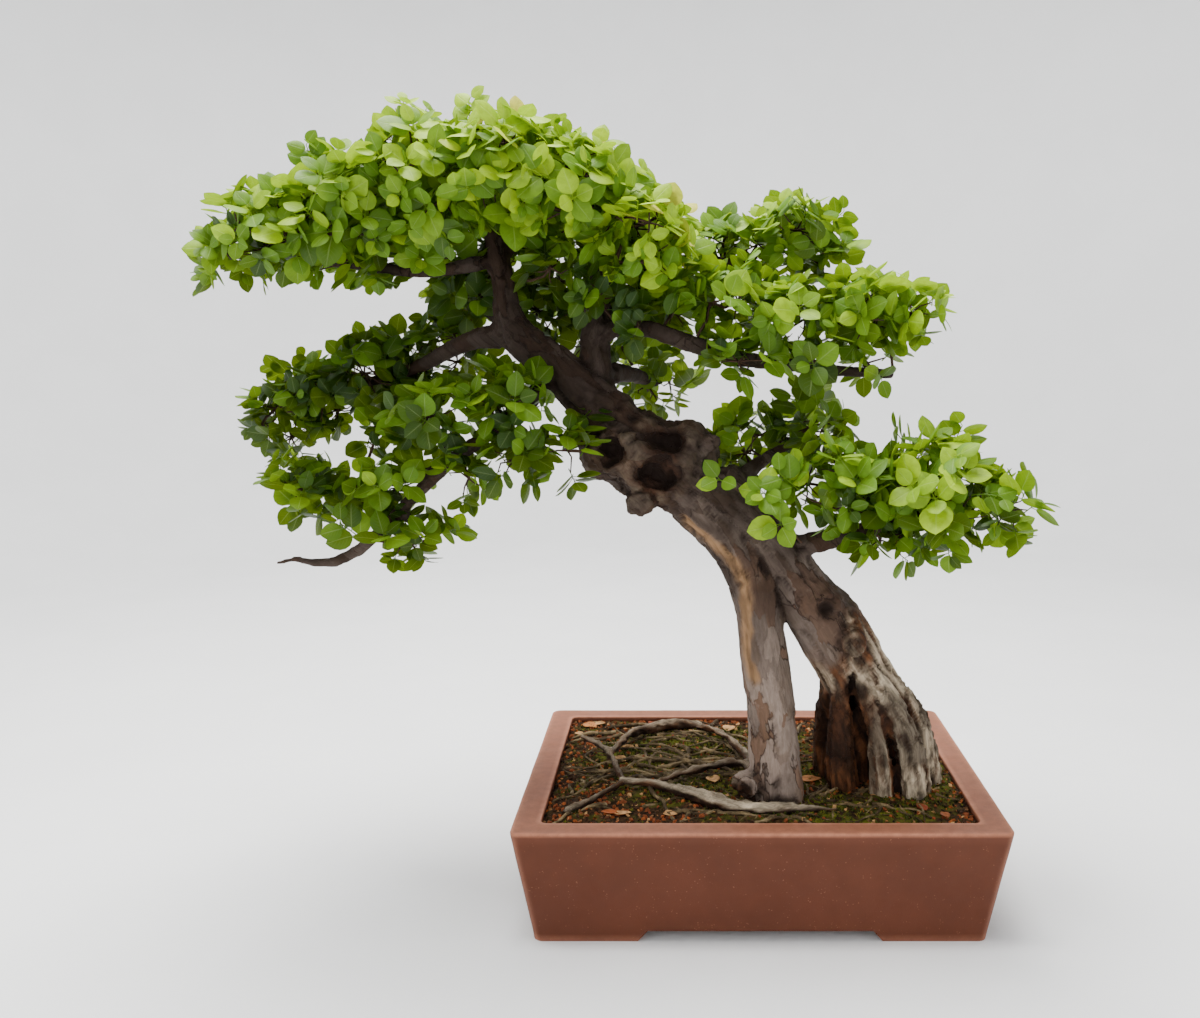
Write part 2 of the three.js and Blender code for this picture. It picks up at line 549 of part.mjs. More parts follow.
// Shoot with a rosette of ovate leaves, as one closed skin. The stem tapers down from the notches
// between the leaves to its foot. Each leaf has five edge points past its notches, and is folded
// along its rib, which has one point above and one below.
function rosette({ foot, tip, normal }, turn, slopes, size) {
  const side = new THREE.Vector3(normal.y, -normal.x, 0.01).normalize();
  const across = new THREE.Vector3().crossVectors(normal, side);
  const count = slopes.length;
  const level = (angle) => side.clone()
    .multiplyScalar(Math.cos(angle))
    .addScaledVector(across, Math.sin(angle));
  const middle = tip.clone().addScaledVector(normal, SHOOT_RADIUS * 0.5);
  const points = [foot, middle];
  const indices = [];
  const [root, top] = [0, 1];
  slopes.forEach((slope, index) => {
    const start = turn + ((index - 0.5) * Math.PI * 2) / count;
    points.push(tip.clone().addScaledVector(level(start), SHOOT_RADIUS));
    const out = level(turn + (index * Math.PI * 2) / count);
    const heading = out.clone().multiplyScalar(Math.cos(slope));
    heading.addScaledVector(normal, Math.sin(slope));
    const face = out.clone().multiplyScalar(-Math.sin(slope));
    face.addScaledVector(normal, Math.cos(slope));
    const leftward = new THREE.Vector3().crossVectors(face, heading);
    const at = (along, sideways, lift) => tip.clone()
      .addScaledVector(heading, along * LEAF_LENGTH * size)
      .addScaledVector(leftward, sideways * LEAF_WIDTH * size)
      .addScaledVector(face, lift);
    const [[low, wide], [high, narrow]] = LEAF_OUTLINE;
    points.push(
      at(low, -wide, LEAF_FOLD), at(high, -narrow, LEAF_FOLD), at(1, 0, 0),
      at(high, narrow, LEAF_FOLD), at(low, wide, LEAF_FOLD),
      at(0.5, 0, 0), at(0.5, 0, -LEAF_THICKNESS),
    );
    const notch = 2 + index * POINTS_A_LEAF;
    const nextNotch = 2 + ((index + 1) % count) * POINTS_A_LEAF;
    const [ribTop, ribBottom] = [notch + 6, notch + 7];
    const edge = [notch, notch + 1, notch + 2, notch + 3, notch + 4, notch + 5, nextNotch];
    for (let k = 0; k < edge.length - 1; k += 1) {
      indices.push(edge[k], edge[k + 1], ribTop, edge[k + 1], edge[k], ribBottom);
    }
    indices.push(top, notch, ribTop, nextNotch, top, ribTop);
    indices.push(notch, nextNotch, ribBottom, notch, root, nextNotch);
  });
  return solidFromPoints(points, indices);
}

// How far a pad's leaves may reach from a point inside it along a direction, and the slope of the
// ellipsoid there.
function padReach(pad, point, direction) {
  let reach = 0;
  const normal = direction.clone();
  for (const [x, y, z, rx, ry, rz] of pad.blobs) {
    const from = new THREE.Vector3((point.x - x) / rx, (point.y - y) / ry, (point.z - z) / rz);
    const step = new THREE.Vector3(direction.x / rx, direction.y / ry, direction.z / rz);
    const half = from.dot(step) / step.lengthSq();
    const rest = half * half - (from.lengthSq() - 1) / step.lengthSq();
    const exit = rest > 0 ? Math.sqrt(rest) - half : 0;
    if (exit > reach) {
      reach = exit;
      const end = from.addScaledVector(step, exit);
      normal.set(end.x / rx, end.y / ry, end.z / rz).normalize();
    }
  }
  return { reach, normal };
}

// Spots for shoots on a bough, spread by seeded dart throwing: a spot is kept if the tip of no
// other shoot is too near. They lie further apart on the underside, where a pad has fewer leaves.
function shootSites(bough, pad, random) {
  const { vertProperties, triVerts } = bough.getMesh();
  const corner = (index) => new THREE.Vector3().fromArray(vertProperties, index * 3);
  const triangles = [];
  let area = 0;
  for (let i = 0; i < triVerts.length; i += 3) {
    const triangle = new THREE.Triangle(
      corner(triVerts[i]), corner(triVerts[i + 1]), corner(triVerts[i + 2]));
    area += triangle.getArea();
    triangles.push({ triangle, reach: area });
  }
  const sites = [];
  for (let attempt = 0; attempt < SITE_TRIES; attempt += 1) {
    const pick = random() * area;
    const { triangle } = triangles.find((entry) => entry.reach >= pick);
    const root = Math.sqrt(random());
    const split = random();
    const foot = new THREE.Vector3()
      .addScaledVector(triangle.a, 1 - root)
      .addScaledVector(triangle.b, root * (1 - split))
      .addScaledVector(triangle.c, root * split);
    const outward = triangle.getNormal(new THREE.Vector3());
    outward.add(new THREE.Vector3(random() - 0.5, random() - 0.5, random() - 0.5)).normalize();
    const { reach, normal } = padReach(pad, foot, outward);
    const height = THREE.MathUtils.clamp(reach - LEAF_RISE, SHOOT_SHORTEST, SHOOT_LONGEST);
    const tip = foot.clone().addScaledVector(outward, height);
    const spacing = SHOOT_SPACING * (1 + UNDERSIDE_THINNING * Math.max(0, -normal.z));
    const wanted = attempt > TOP_TRIES || normal.z > TOP_SLOPE;
    if (wanted && sites.every((site) => site.tip.distanceTo(tip) > spacing)) {
      sites.push({ foot: foot.addScaledVector(outward, -SHOOT_SINK), tip, normal });
    }
  }
  return sites;
}

// Shoot on a site: it tries a few turns and slopes, and is left out if all of them meet something.
function shootOnSite(site, isClear, random) {
  for (let attempt = 0; attempt < SHOOT_TRIES; attempt += 1) {
    const slopes = Array.from(
      { length: LEAVES_A_SHOOT }, () => THREE.MathUtils.lerp(...LEAF_SLOPES, random()));
    const size = LARGEST_LEAF - (LEAF_SHRINKING * attempt) / SHOOT_TRIES;
    const shoot = rosette(site, random() * Math.PI, slopes, size);
    if (isClear(shoot)) {
      return shoot;
    }
  }
  return null;
}

// All pads in turn. A leaf that would cross another pad is left out.
function foliageBodies(woodRoom) {
  const random = seededRandom(SEED);
  const rooms = PADS.map((pad) => boughOf(pad, 2 * GAP));
  const finished = [];
  PADS.forEach((pad, index) => {
    const bough = boughOf(pad, 0).subtract(Solid.union(rooms.slice(0, index)));
    const pieces = [bough];
    let taken = Solid.union([...rooms.filter((room, k) => k !== index), ...finished]);
    const isClear = (solid) => solid.intersect(taken).isEmpty()
      && solid.intersect(bough).volume() < DEEPEST_ROOT;
    for (const site of shootSites(bough, pad, random)) {
      const shoot = shootOnSite(site, isClear, random);
      if (shoot) {
        pieces.push(shoot);
        taken = taken.add(shoot);
      }
    }
    if (pad.name === 'foliage_crown_left') {
      const normal = SPROUT.tip.clone().sub(SPROUT.foot).normalize();
      pieces.push(rosette({ ...SPROUT, normal }, 0, SPROUT.slopes, SPROUT.size));
    }
    finished.push(largestBody(Solid.union(pieces).subtract(woodRoom)));
  });
  return finished;
}

// Scene graph
const part = new THREE.Group();

function addPiece(name, solid, colour, roughness) {
  const material = new THREE.MeshStandardMaterial({ color: colour, roughness, flatShading: true });
  const mesh = new THREE.Mesh(geometryFrom(solid), material);
  mesh.name = name;
  part.add(mesh);
}

const woodRoom = woodClearance();
addPiece('pot', potBody(), 0x7a4636, 0.75);
addPiece('drain_screen_left', drainScreen(-DRAIN_SPACING / 2), 0x23262a, 0.6);
addPiece('drain_screen_right', drainScreen(DRAIN_SPACING / 2), 0x23262a, 0.6);
addPiece('soil', soilBody(woodRoom), 0x3a2a1e, 0.95);
addPiece('tree_wood', woodBody(), 0x7b6a60, 0.85);
foliageBodies(woodRoom).forEach((solid, index) => {
  addPiece(PADS[index].name, solid, PADS[index].colour, 0.55);
});

const extent = new THREE.Box3().setFromObject(part);
const centre = extent.getCenter(new THREE.Vector3());
part.position.set(-centre.x, -centre.y, -extent.min.z);
part.updateMatrixWorld(true);

export default part;
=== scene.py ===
"""Chinese sweet plum bonsai in its clay pot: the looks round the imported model.

Places in this file are in millimetres from the middle of the pot at the height of its feet, with
+X to the right, -Y towards the viewer and +Z up. The function at() turns them into the frame.
Settings, and the levels that the pot is lofted through, are in metres.
"""

import functools
import json
import math

import bmesh
import bpy
import numpy as np
from bpy.props import BoolProperty, FloatProperty, FloatVectorProperty, IntProperty, PointerProperty
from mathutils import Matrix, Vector, noise
from mathutils.bvhtree import BVHTree

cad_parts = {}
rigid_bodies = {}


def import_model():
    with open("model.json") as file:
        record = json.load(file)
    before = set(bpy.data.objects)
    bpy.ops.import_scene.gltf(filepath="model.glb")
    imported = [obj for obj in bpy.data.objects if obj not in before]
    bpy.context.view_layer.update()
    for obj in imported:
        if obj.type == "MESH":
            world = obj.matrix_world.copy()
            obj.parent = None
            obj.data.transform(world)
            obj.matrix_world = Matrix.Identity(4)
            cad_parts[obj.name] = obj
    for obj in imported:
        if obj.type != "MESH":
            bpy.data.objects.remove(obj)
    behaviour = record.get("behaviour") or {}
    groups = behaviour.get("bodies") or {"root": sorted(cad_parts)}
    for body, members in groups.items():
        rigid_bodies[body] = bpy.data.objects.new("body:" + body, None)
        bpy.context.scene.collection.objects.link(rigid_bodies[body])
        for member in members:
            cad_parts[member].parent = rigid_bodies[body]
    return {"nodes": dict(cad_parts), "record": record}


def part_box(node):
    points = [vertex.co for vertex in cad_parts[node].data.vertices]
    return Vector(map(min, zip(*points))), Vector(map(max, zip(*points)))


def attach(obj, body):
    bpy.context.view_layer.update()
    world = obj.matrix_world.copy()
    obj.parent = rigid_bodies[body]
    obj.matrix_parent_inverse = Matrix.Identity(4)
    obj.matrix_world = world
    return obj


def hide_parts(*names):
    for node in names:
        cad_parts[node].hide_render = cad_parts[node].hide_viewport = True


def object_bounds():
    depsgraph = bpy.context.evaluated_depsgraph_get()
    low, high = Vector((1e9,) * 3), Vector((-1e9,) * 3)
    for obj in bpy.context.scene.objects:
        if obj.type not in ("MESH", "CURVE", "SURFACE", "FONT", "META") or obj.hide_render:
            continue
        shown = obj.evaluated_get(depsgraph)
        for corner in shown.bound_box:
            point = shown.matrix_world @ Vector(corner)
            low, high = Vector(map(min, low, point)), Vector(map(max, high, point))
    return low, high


bl_info = {
    "name": "Sweet Plum Bonsai",
    "version": (1, 0, 0),
    "blender": (4, 5, 0),
    "location": "View3D > Sidebar > Bonsai",
    "description": "Dresses a potted sweet plum bonsai with bark, leaves, soil and a clay pot",
    "category": "Object",
}

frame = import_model()
CAD_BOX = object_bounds()
MM = 0.001
POT_LOW, POT_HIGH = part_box("pot")
POT_MIDDLE = Vector(((POT_LOW.x + POT_HIGH.x) / 2, (POT_LOW.y + POT_HIGH.y) / 2, POT_LOW.z))
POT_SIZE = POT_HIGH - POT_LOW
SLOTS = {part["node"]: part["material_slot"] for part in frame["record"]["subparts"]}
SEED = 7


def at(x, y, z):
    """A place in the frame, in metres, from millimetres off the pot's middle."""
    return POT_MIDDLE + Vector((x, y, z)) * MM


def all_at(points):
    """The same for an array of places."""
    return np.array(POT_MIDDLE) + np.asarray(points, dtype=float) * MM


def from_pot(points):
    """Millimetres off the pot's middle, from places in the frame."""
    return (np.asarray(points, dtype=float) - np.array(POT_MIDDLE)) / MM


# The wood's middle lines, each point with its radius, as the solid tree has them
TRUNK = [
    (17, -74, 82, 29), (17, -76, 100, 24), (15, -77, 150, 21), (10, -76, 184, 21), (4, -74, 226, 21),
    (-1, -72, 257, 21), (-6, -71, 284, 22), (-15, -70, 310, 23), (-31, -68, 334, 25), (-53, -66, 357, 28),
    (-76, -64, 376, 31), (-92, -60, 392, 30), (-127, -58, 420, 24), (-149, -56, 439, 20),
    (-166, -54, 457, 18), (-186, -52, 473, 17), (-202, -50, 488, 16), (-208, -48, 507, 13),
    (-212, -46, 531, 12), (-216, -44, 553, 11), (-221, -42, 575, 8),
]
LEG = [
    (118, -40, 80, 40), (112, -42, 130, 38), (97, -48, 178, 30), (74, -54, 217, 30), (58, -57, 245, 30),
    (43, -60, 267, 27), (29, -63, 289, 25), (14, -66, 310, 24), (-11, -66, 335, 26), (-39, -66, 358, 28),
]
SECOND_STEM = [
    (-95, -58, 388, 28), (-123, -52, 415, 21), (-135, -46, 444, 17), (-137, -40, 477, 15),
    (-134, -34, 510, 13), (-127, -32, 546, 10), (-122, -30, 572, 7),
]
FRONT_ROOT = [
    (68, -102, 95, 4), (40, -104, 97, 5.5), (12, -106, 97, 9), (-12, -108, 98, 9.5), (-36, -98, 101, 9),
    (-62, -80, 103, 7.5), (-92, -66, 105, 5.5), (-118, -62, 105, 5),
]
LOW_PRONG = [(-112, -62, 105, 5), (-130, -78, 101, 4.5), (-144, -94, 98, 4.5), (-160, -110, 97, 5)]
HIGH_PRONG = [(-116, -58, 105, 5), (-123, -26, 107, 5), (-130, -4, 109, 5), (-144, 20, 110, 4.5),
              (-160, 44, 108, 4)]
BACK_ROOT = [
    (-128, -4, 108, 4.5), (-123, 28, 107, 5), (-112, 62, 106, 6), (-90, 88, 103, 8), (-62, 104, 101, 7),
    (-38, 84, 103, 5), (-22, 54, 105, 5), (-8, 12, 105, 5.5), (6, -48, 106, 9),
]
SIDE_ROOT = [(4, -58, 105, 9), (-10, -20, 106, 6), (-30, -24, 106, 5.5), (-52, -36, 105, 5),
             (-72, -46, 103, 4.5), (-88, -58, 101, 4)]
LIVING_LINES = [TRUNK, LEG, SECOND_STEM]
ROOT_LINES = [FRONT_ROOT, LOW_PRONG, HIGH_PRONG, BACK_ROOT, SIDE_ROOT]

# Strip of fresh tan underbark that runs down the front of the living trunk
UNDERBARK_STRIP = [(-60, -90, 334), (-36, -90, 314), (-24, -90, 302), (-13, -90, 283), (-10, -90, 260),
                   (-10, -90, 222), (-3, -90, 205)]
# Rotted hollows and the rings of callus round knots: x, y, z and radius
HOLLOWS = [(-121, -98, 392, 13), (-76, -96, 402, 20), (-82, -98, 374, 19), (56, -84, 262, 9),
           (80, -84, 190, 12), (82, -60, 176, 9)]
KNOTS = [(79, -88, 233, 13), (-97, -95, 349, 13), (-40, -86, 399, 9), (78, -74, 256, 8),
         (-9, -98, 112, 12)]
# The burl's middle and radius
BURL = (-92, -62, 386, 58)

# Heads of foliage: clumps of x, y, z and half sizes that the leaf tips reach, then how bright the
# leaves are painted, low for heads in shade, and how large
HEADS = {
    "foliage_crown_left_tip": (
        [(-428, -45, 551, 44, 50, 29), (-388, -84, 566, 50, 52, 42), (-384, -6, 569, 52, 56, 43)], 0.5, 0.95),
    "foliage_crown_left": (
        [(-326, -2, 586, 54, 62, 54), (-322, -94, 580, 54, 58, 54), (-264, -98, 604, 54, 58, 56),
         (-266, 2, 608, 56, 62, 54), (-330, -50, 540, 52, 46, 26), (-272, -52, 546, 46, 44, 26)], 0.6, 0.95),
    "foliage_crown_top": (
        [(-202, 22, 611, 56, 62, 54), (-200, -96, 607, 56, 60, 54), (-144, -92, 592, 54, 58, 50),
         (-144, 14, 595, 54, 60, 50)], 0.74, 0.95),
    "foliage_crown_right": (
        [(-97, 2, 570, 46, 60, 44), (-98, -84, 566, 46, 58, 46), (-76, -62, 540, 38, 56, 36)], 0.9, 0.9),
    "foliage_crown_under": (
        [(-170, 22, 532, 42, 52, 31), (-111, 22, 529, 49, 56, 31), (-178, 14, 500, 34, 44, 32),
         (-122, 26, 494, 36, 48, 32), (-76, 22, 502, 34, 46, 32), (-236, -10, 522, 42, 46, 38),
         (-166, -84, 536, 34, 32, 30), (-128, -84, 514, 34, 32, 32), (-98, -74, 492, 28, 30, 26),
         (-192, 34, 508, 38, 40, 42), (-150, 40, 478, 42, 40, 36), (-222, 20, 548, 38, 42, 34)], 0.0, 0.9),
    "foliage_right_upper": (
        [(-15, 22, 561, 44, 58, 34), (32, 22, 570, 49, 62, 38), (62, 12, 552, 36, 50, 28)], 0.42, 0.9),
    "foliage_right_middle_inner": (
        [(-32, -48, 512, 42, 60, 34), (23, -48, 500, 43, 62, 36), (-68, -34, 506, 36, 50, 34),
         (-12, -74, 464, 44, 36, 26), (40, -74, 462, 36, 36, 24)], 0.36, 0.9),
    "foliage_right_middle_outer": (
        [(128, -35, 504, 37, 50, 33), (84, -35, 500, 44, 66, 42), (92, -40, 462, 36, 46, 30)], 0.52, 0.95),
    "foliage_right_lower_inner": ([(-3, 0, 388, 44, 48, 42), (50, 0, 402, 40, 52, 36)], 0.1, 0.95),
    "foliage_right_lower_middle": (
        [(54, -102, 366, 46, 54, 46), (92, -96, 342, 42, 52, 36), (104, -90, 316, 36, 42, 26)], 0.34, 0.95),
    "foliage_right_lower_outer": (
        [(188, -100, 347, 41, 48, 34), (136, -100, 365, 52, 60, 49), (142, -100, 328, 40, 46, 28)],
        0.48, 0.98),
    "foliage_left_middle_outer": (
        [(-420, 10, 412, 40, 48, 38), (-380, 10, 430, 44, 58, 42), (-408, 0, 395, 35, 40, 28)], 0.0, 0.9),
    "foliage_left_middle_inner": (
        [(-330, 10, 453, 48, 58, 44), (-268, 10, 471, 44, 54, 42), (-300, 20, 430, 44, 44, 32),
         (-308, -44, 402, 44, 40, 30)], -0.05, 0.9),
    "foliage_left_front": (
        [(-257, -96, 416, 46, 44, 38), (-203, -98, 432, 44, 44, 38), (-196, -98, 386, 40, 36, 32),
         (-156, -98, 392, 34, 34, 34)], 0.12, 0.95),
    "foliage_left_lower_outer": ([(-378, -62, 357, 46, 44, 32), (-338, -64, 344, 42, 40, 30)], 0.14, 0.9),
    "foliage_left_lower_inner": (
        [(-297, -74, 360, 44, 46, 35), (-290, -74, 318, 52, 44, 30), (-238, -84, 372, 32, 36, 34)],
        0.24, 0.9),
    "foliage_back_right": ([(-88, 64, 443, 42, 48, 38)], 0.12, 0.9),
    "foliage_back_left": ([(-262, 84, 516, 44, 52, 38)], 0.12, 0.9),
}
# Shoots placed one by one: head, foot, direction, size and painted brightness
LONE_SHOOTS = [
    ("foliage_crown_left", (-276, -97, 656), (0.1, -0.3, 1), 0.6, 0.9),
    ("foliage_crown_left", (-276, -97, 644), (-0.7, -0.6, 0.5), 0.6, 0.85),
    ("foliage_right_lower_middle", (-32, -116, 372), (-0.5, -1, 0.4), 0.78, 0.5),
    ("foliage_right_lower_middle", (2, -122, 362), (-0.4, -1, 0.4), 0.85, 0.6),
    ("foliage_right_lower_middle", (14, -124, 340), (-0.2, -1, -0.1), 0.9, 0.5),
]
# Twigs that carry them: start, end and the radius at each
LONE_TWIGS = [((-266, -97, 604), (-276, -97, 656), 1.1, 0.6), ((34, -88, 318), (4, -118, 354), 1.1, 0.7),
              ((4, -118, 354), (-32, -114, 371), 0.8, 0.5)]


# Meshes

def linked(name, data):
    """A new object in the scene round a mesh, a curve, a light or a camera."""
    piece = bpy.data.objects.new(name, data)
    bpy.context.scene.collection.objects.link(piece)
    return piece


def mesh_object(name, vertices, faces, smooth=True):
    mesh = bpy.data.meshes.new(name)
    mesh.from_pydata([tuple(v) for v in vertices], [], [tuple(int(i) for i in f) for f in faces])
    if smooth:
        mesh.shade_smooth()
    return linked(name, mesh)


def shape_object(name, shape):
    """An object from a bmesh, which is freed."""
    mesh = bpy.data.meshes.new(name)
    shape.to_mesh(mesh)
    shape.free()
    return linked(name, mesh)


def rows_of(items, label, width, kind=float):
    """One value of each vertex or edge, as the rows of an array."""
    found = np.empty(len(items) * width, dtype=kind)
    items.foreach_get(label, found)
    return found.reshape(-1, width)


def places(mesh):
    return rows_of(mesh.vertices, "co", 3)


def move_to(mesh, points):
    mesh.vertices.foreach_set("co", np.asarray(points, dtype=np.float32).ravel())
    mesh.update()


def normals(mesh):
    return rows_of(mesh.vertex_normals, "vector", 3)


def edges(mesh):
    return rows_of(mesh.edges, "vertices", 2, int)


def store(mesh, name, values):
    """Stores one number, or one vector, for each vertex under a name that materials read."""
    values = np.asarray(values, dtype=np.float32)
    vector = values.ndim == 2
    layer = mesh.attributes.new(name, "FLOAT_VECTOR" if vector else "FLOAT", "POINT")
    layer.data.foreach_set("vector" if vector else "value", values.ravel())


def cad_copy(node, name):
    """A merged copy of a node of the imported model."""
    shape = bmesh.new()
    shape.from_mesh(frame["nodes"][node].data)
    bmesh.ops.transform(shape, matrix=frame["nodes"][node].matrix_world, verts=shape.verts)
    bmesh.ops.remove_doubles(shape, verts=shape.verts, dist=0.02 * MM)
    return shape_object(name, shape)


def cad_tree(node):
    """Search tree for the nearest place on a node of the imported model."""
    copy = cad_copy(node, "search")
    found = BVHTree.FromPolygons([v.co for v in copy.data.vertices], [p.vertices for p in copy.data.polygons])
    remove(copy)
    return found


def remove(piece):
    mesh = piece.data
    bpy.data.objects.remove(piece)
    if isinstance(mesh, bpy.types.Mesh):
        bpy.data.meshes.remove(mesh)
    elif isinstance(mesh, bpy.types.Curve):
        bpy.data.curves.remove(mesh)


def finished(piece, name):
    """Turns an object and its modifiers into a plain mesh object of that name."""
    graph = bpy.context.evaluated_depsgraph_get()
    mesh = bpy.data.meshes.new_from_object(
        piece.evaluated_get(graph), preserve_all_data_layers=True, depsgraph=graph)
    remove(piece)
    mesh.name = name
    return linked(name, mesh)


def settle(piece, slot, *nodes, material=None):
    """Fixes a finished piece to the model: its material, when one is given, and the nodes that it stands for,
    which it hides.
    """
    if material:
        piece.data.materials.clear()
        piece.data.materials.append(material)
    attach(piece, "root")
    if nodes:
        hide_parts(*nodes)


def spaced(low, high, count):
    """Evenly spaced plain numbers from low to high."""
    return np.linspace(low, high, count).tolist()


def smoothstep(low, high, value):
    share = np.clip((np.asarray(value) - low) / (high - low), 0, 1)
    return share * share * (3 - 2 * share)


def clouds(points, scale, octaves=3):
    """Soft noise from about -1 to 1 at each point, in millimetres, with features of that scale."""
    return np.array([noise.fractal(Vector(p) / scale, 0.6, 2.1, octaves) for p in points])


# Node trees

# Where a Random Value node has the least value and the result of each kind
RANDOM_SOCKETS = {"FLOAT_VECTOR": (0, 0), "FLOAT": (2, 1), "INT": (4, 2)}
HIGHEST_PICK = 1000


def feed(tree, socket, value):
    if isinstance(value, bpy.types.NodeSocket):
        tree.links.new(value, socket)
    elif value is not None:
        socket.default_value = value


def put(tree, kind, inputs=None, **settings):
    """Adds a node. Its inputs are given by name or number, as a value or another node's output."""
    node = tree.nodes.new(kind)
    for key, value in settings.items():
        setattr(node, key, value)
    for key, value in (inputs or {}).items():
        feed(tree, node.inputs[key], value)
    return node


def math_of(tree, operation, *values, clamp=False):
    """One step of arithmetic on up to three values, each a number or a socket."""
    node = put(tree, "ShaderNodeMath", dict(enumerate(values)), operation=operation, use_clamp=clamp)
    return node.outputs[0]


def growth_tree(name, inputs):
    """An empty geometry tree with named inputs: label to (socket type, default)."""
    tree = bpy.data.node_groups.new(name, "GeometryNodeTree")
    tree.interface.new_socket("Geometry", in_out="INPUT", socket_type="NodeSocketGeometry")
    for label, (kind, default) in inputs.items():
        socket = tree.interface.new_socket(label, in_out="INPUT", socket_type=kind)
        if default is not None:
            socket.default_value = default
    tree.interface.new_socket("Geometry", in_out="OUTPUT", socket_type="NodeSocketGeometry")
    return tree, tree.nodes.new("NodeGroupInput").outputs, tree.nodes.new("NodeGroupOutput").inputs


def closed_tree(tree, given, result, geometry):
    """Ends a geometry tree: what it made becomes real and takes the given material."""
    real = put(tree, "GeometryNodeRealizeInstances", {"Geometry": geometry})
    painted = put(tree, "GeometryNodeSetMaterial", {
        "Geometry": real.outputs["Geometry"], "Material": given["Material"]})
    feed(tree, result["Geometry"], painted.outputs["Geometry"])
    return tree


def attribute_of(tree, name, kind):
    """What each point holds under a name."""
    return put(tree, "GeometryNodeInputNamedAttribute", {"Name": name}, data_type=kind).outputs["Attribute"]


def random_of(tree, kind, low, high, seed):
    """A seeded random value for each point: a number, a whole number or a vector."""
    least, result = RANDOM_SOCKETS[kind]
    node = put(tree, "FunctionNodeRandomValue", {least: low, least + 1: high, "Seed": seed}, data_type=kind)
    return node.outputs[result]


def turned_by(tree, rotation, turn):
    """A rotation, turned further about its own axes."""
    return put(tree, "FunctionNodeRotateRotation", {"Rotation": rotation, "Rotate By": turn},
               rotation_space="LOCAL").outputs["Rotation"]


def picked_on(tree, points, collection, seed, rotation, scale):
    """Shapes picked at random from a collection, one on every point."""
    shapes = put(tree, "GeometryNodeCollectionInfo", {
        "Collection": collection, "Separate Children": True, "Reset Children": True})
    return put(tree, "GeometryNodeInstanceOnPoints", {
        "Points": points, "Instance": shapes.outputs["Instances"], "Pick Instance": True,
        "Instance Index": random_of(tree, "INT", 0, HIGHEST_PICK, seed), "Rotation": rotation,
        "Scale": scale}).outputs["Instances"]


def grow(piece, tree, values, name):
    """Runs a geometry tree on an object with these inputs, and returns the plain result."""
    modifier = piece.modifiers.new(tree.name, "NODES")
    modifier.node_group = tree
    sockets = {item.name: item.identifier for item in tree.interface.items_tree if item.in_out == "INPUT"}
    for label, value in values.items():
        modifier[sockets[label]] = value
    return finished(piece, name)


def tube_tree():
    """Round tubes along curves, as stout as each curve point's radius."""
    tree, given, result = growth_tree("Tubes along curves", {
        "Sides": ("NodeSocketInt", 5),
        "Material": ("NodeSocketMaterial", None),
    })
    circle = put(tree, "GeometryNodeCurvePrimitiveCircle", {"Resolution": given["Sides"], "Radius": 1.0})
    girth = put(tree, "GeometryNodeInputRadius")
    tubes = put(tree, "GeometryNodeCurveToMesh", {
        "Curve": given["Geometry"], "Profile Curve": circle.outputs["Curve"],
        "Scale": girth.outputs["Radius"], "Fill Caps": True})
    smooth = put(tree, "GeometryNodeSetShadeSmooth", {"Geometry": tubes.outputs["Mesh"]})
    return closed_tree(tree, given, result, smooth.outputs["Geometry"])


def shoot_tree():
    """A leafy shoot, picked from a collection, on every point, turned to the point's facing."""
    tree, given, result = growth_tree("Shoots on points", {
        "Shoots": ("NodeSocketCollection", None),
        "Leaf scale": ("NodeSocketFloat", 1.0),
        "Seed": ("NodeSocketInt", SEED),
        "Material": ("NodeSocketMaterial", None),
    })
    seed = given["Seed"]
    upright = put(tree, "FunctionNodeAlignRotationToVector", {
        "Vector": attribute_of(tree, "facing", "FLOAT_VECTOR")}, axis="Z")
    about_axis = put(tree, "FunctionNodeAxisAngleToRotation", {
        "Axis": (0.0, 0.0, 1.0), "Angle": random_of(tree, "FLOAT", 0.0, math.tau, seed)})
    rotation = turned_by(tree, upright.outputs["Rotation"], about_axis.outputs["Rotation"])
    scale = math_of(tree, "MULTIPLY", attribute_of(tree, "size", "FLOAT"), given["Leaf scale"])
    placed = picked_on(tree, given["Geometry"], given["Shoots"], seed, rotation, scale)
    return closed_tree(tree, given, result, placed)


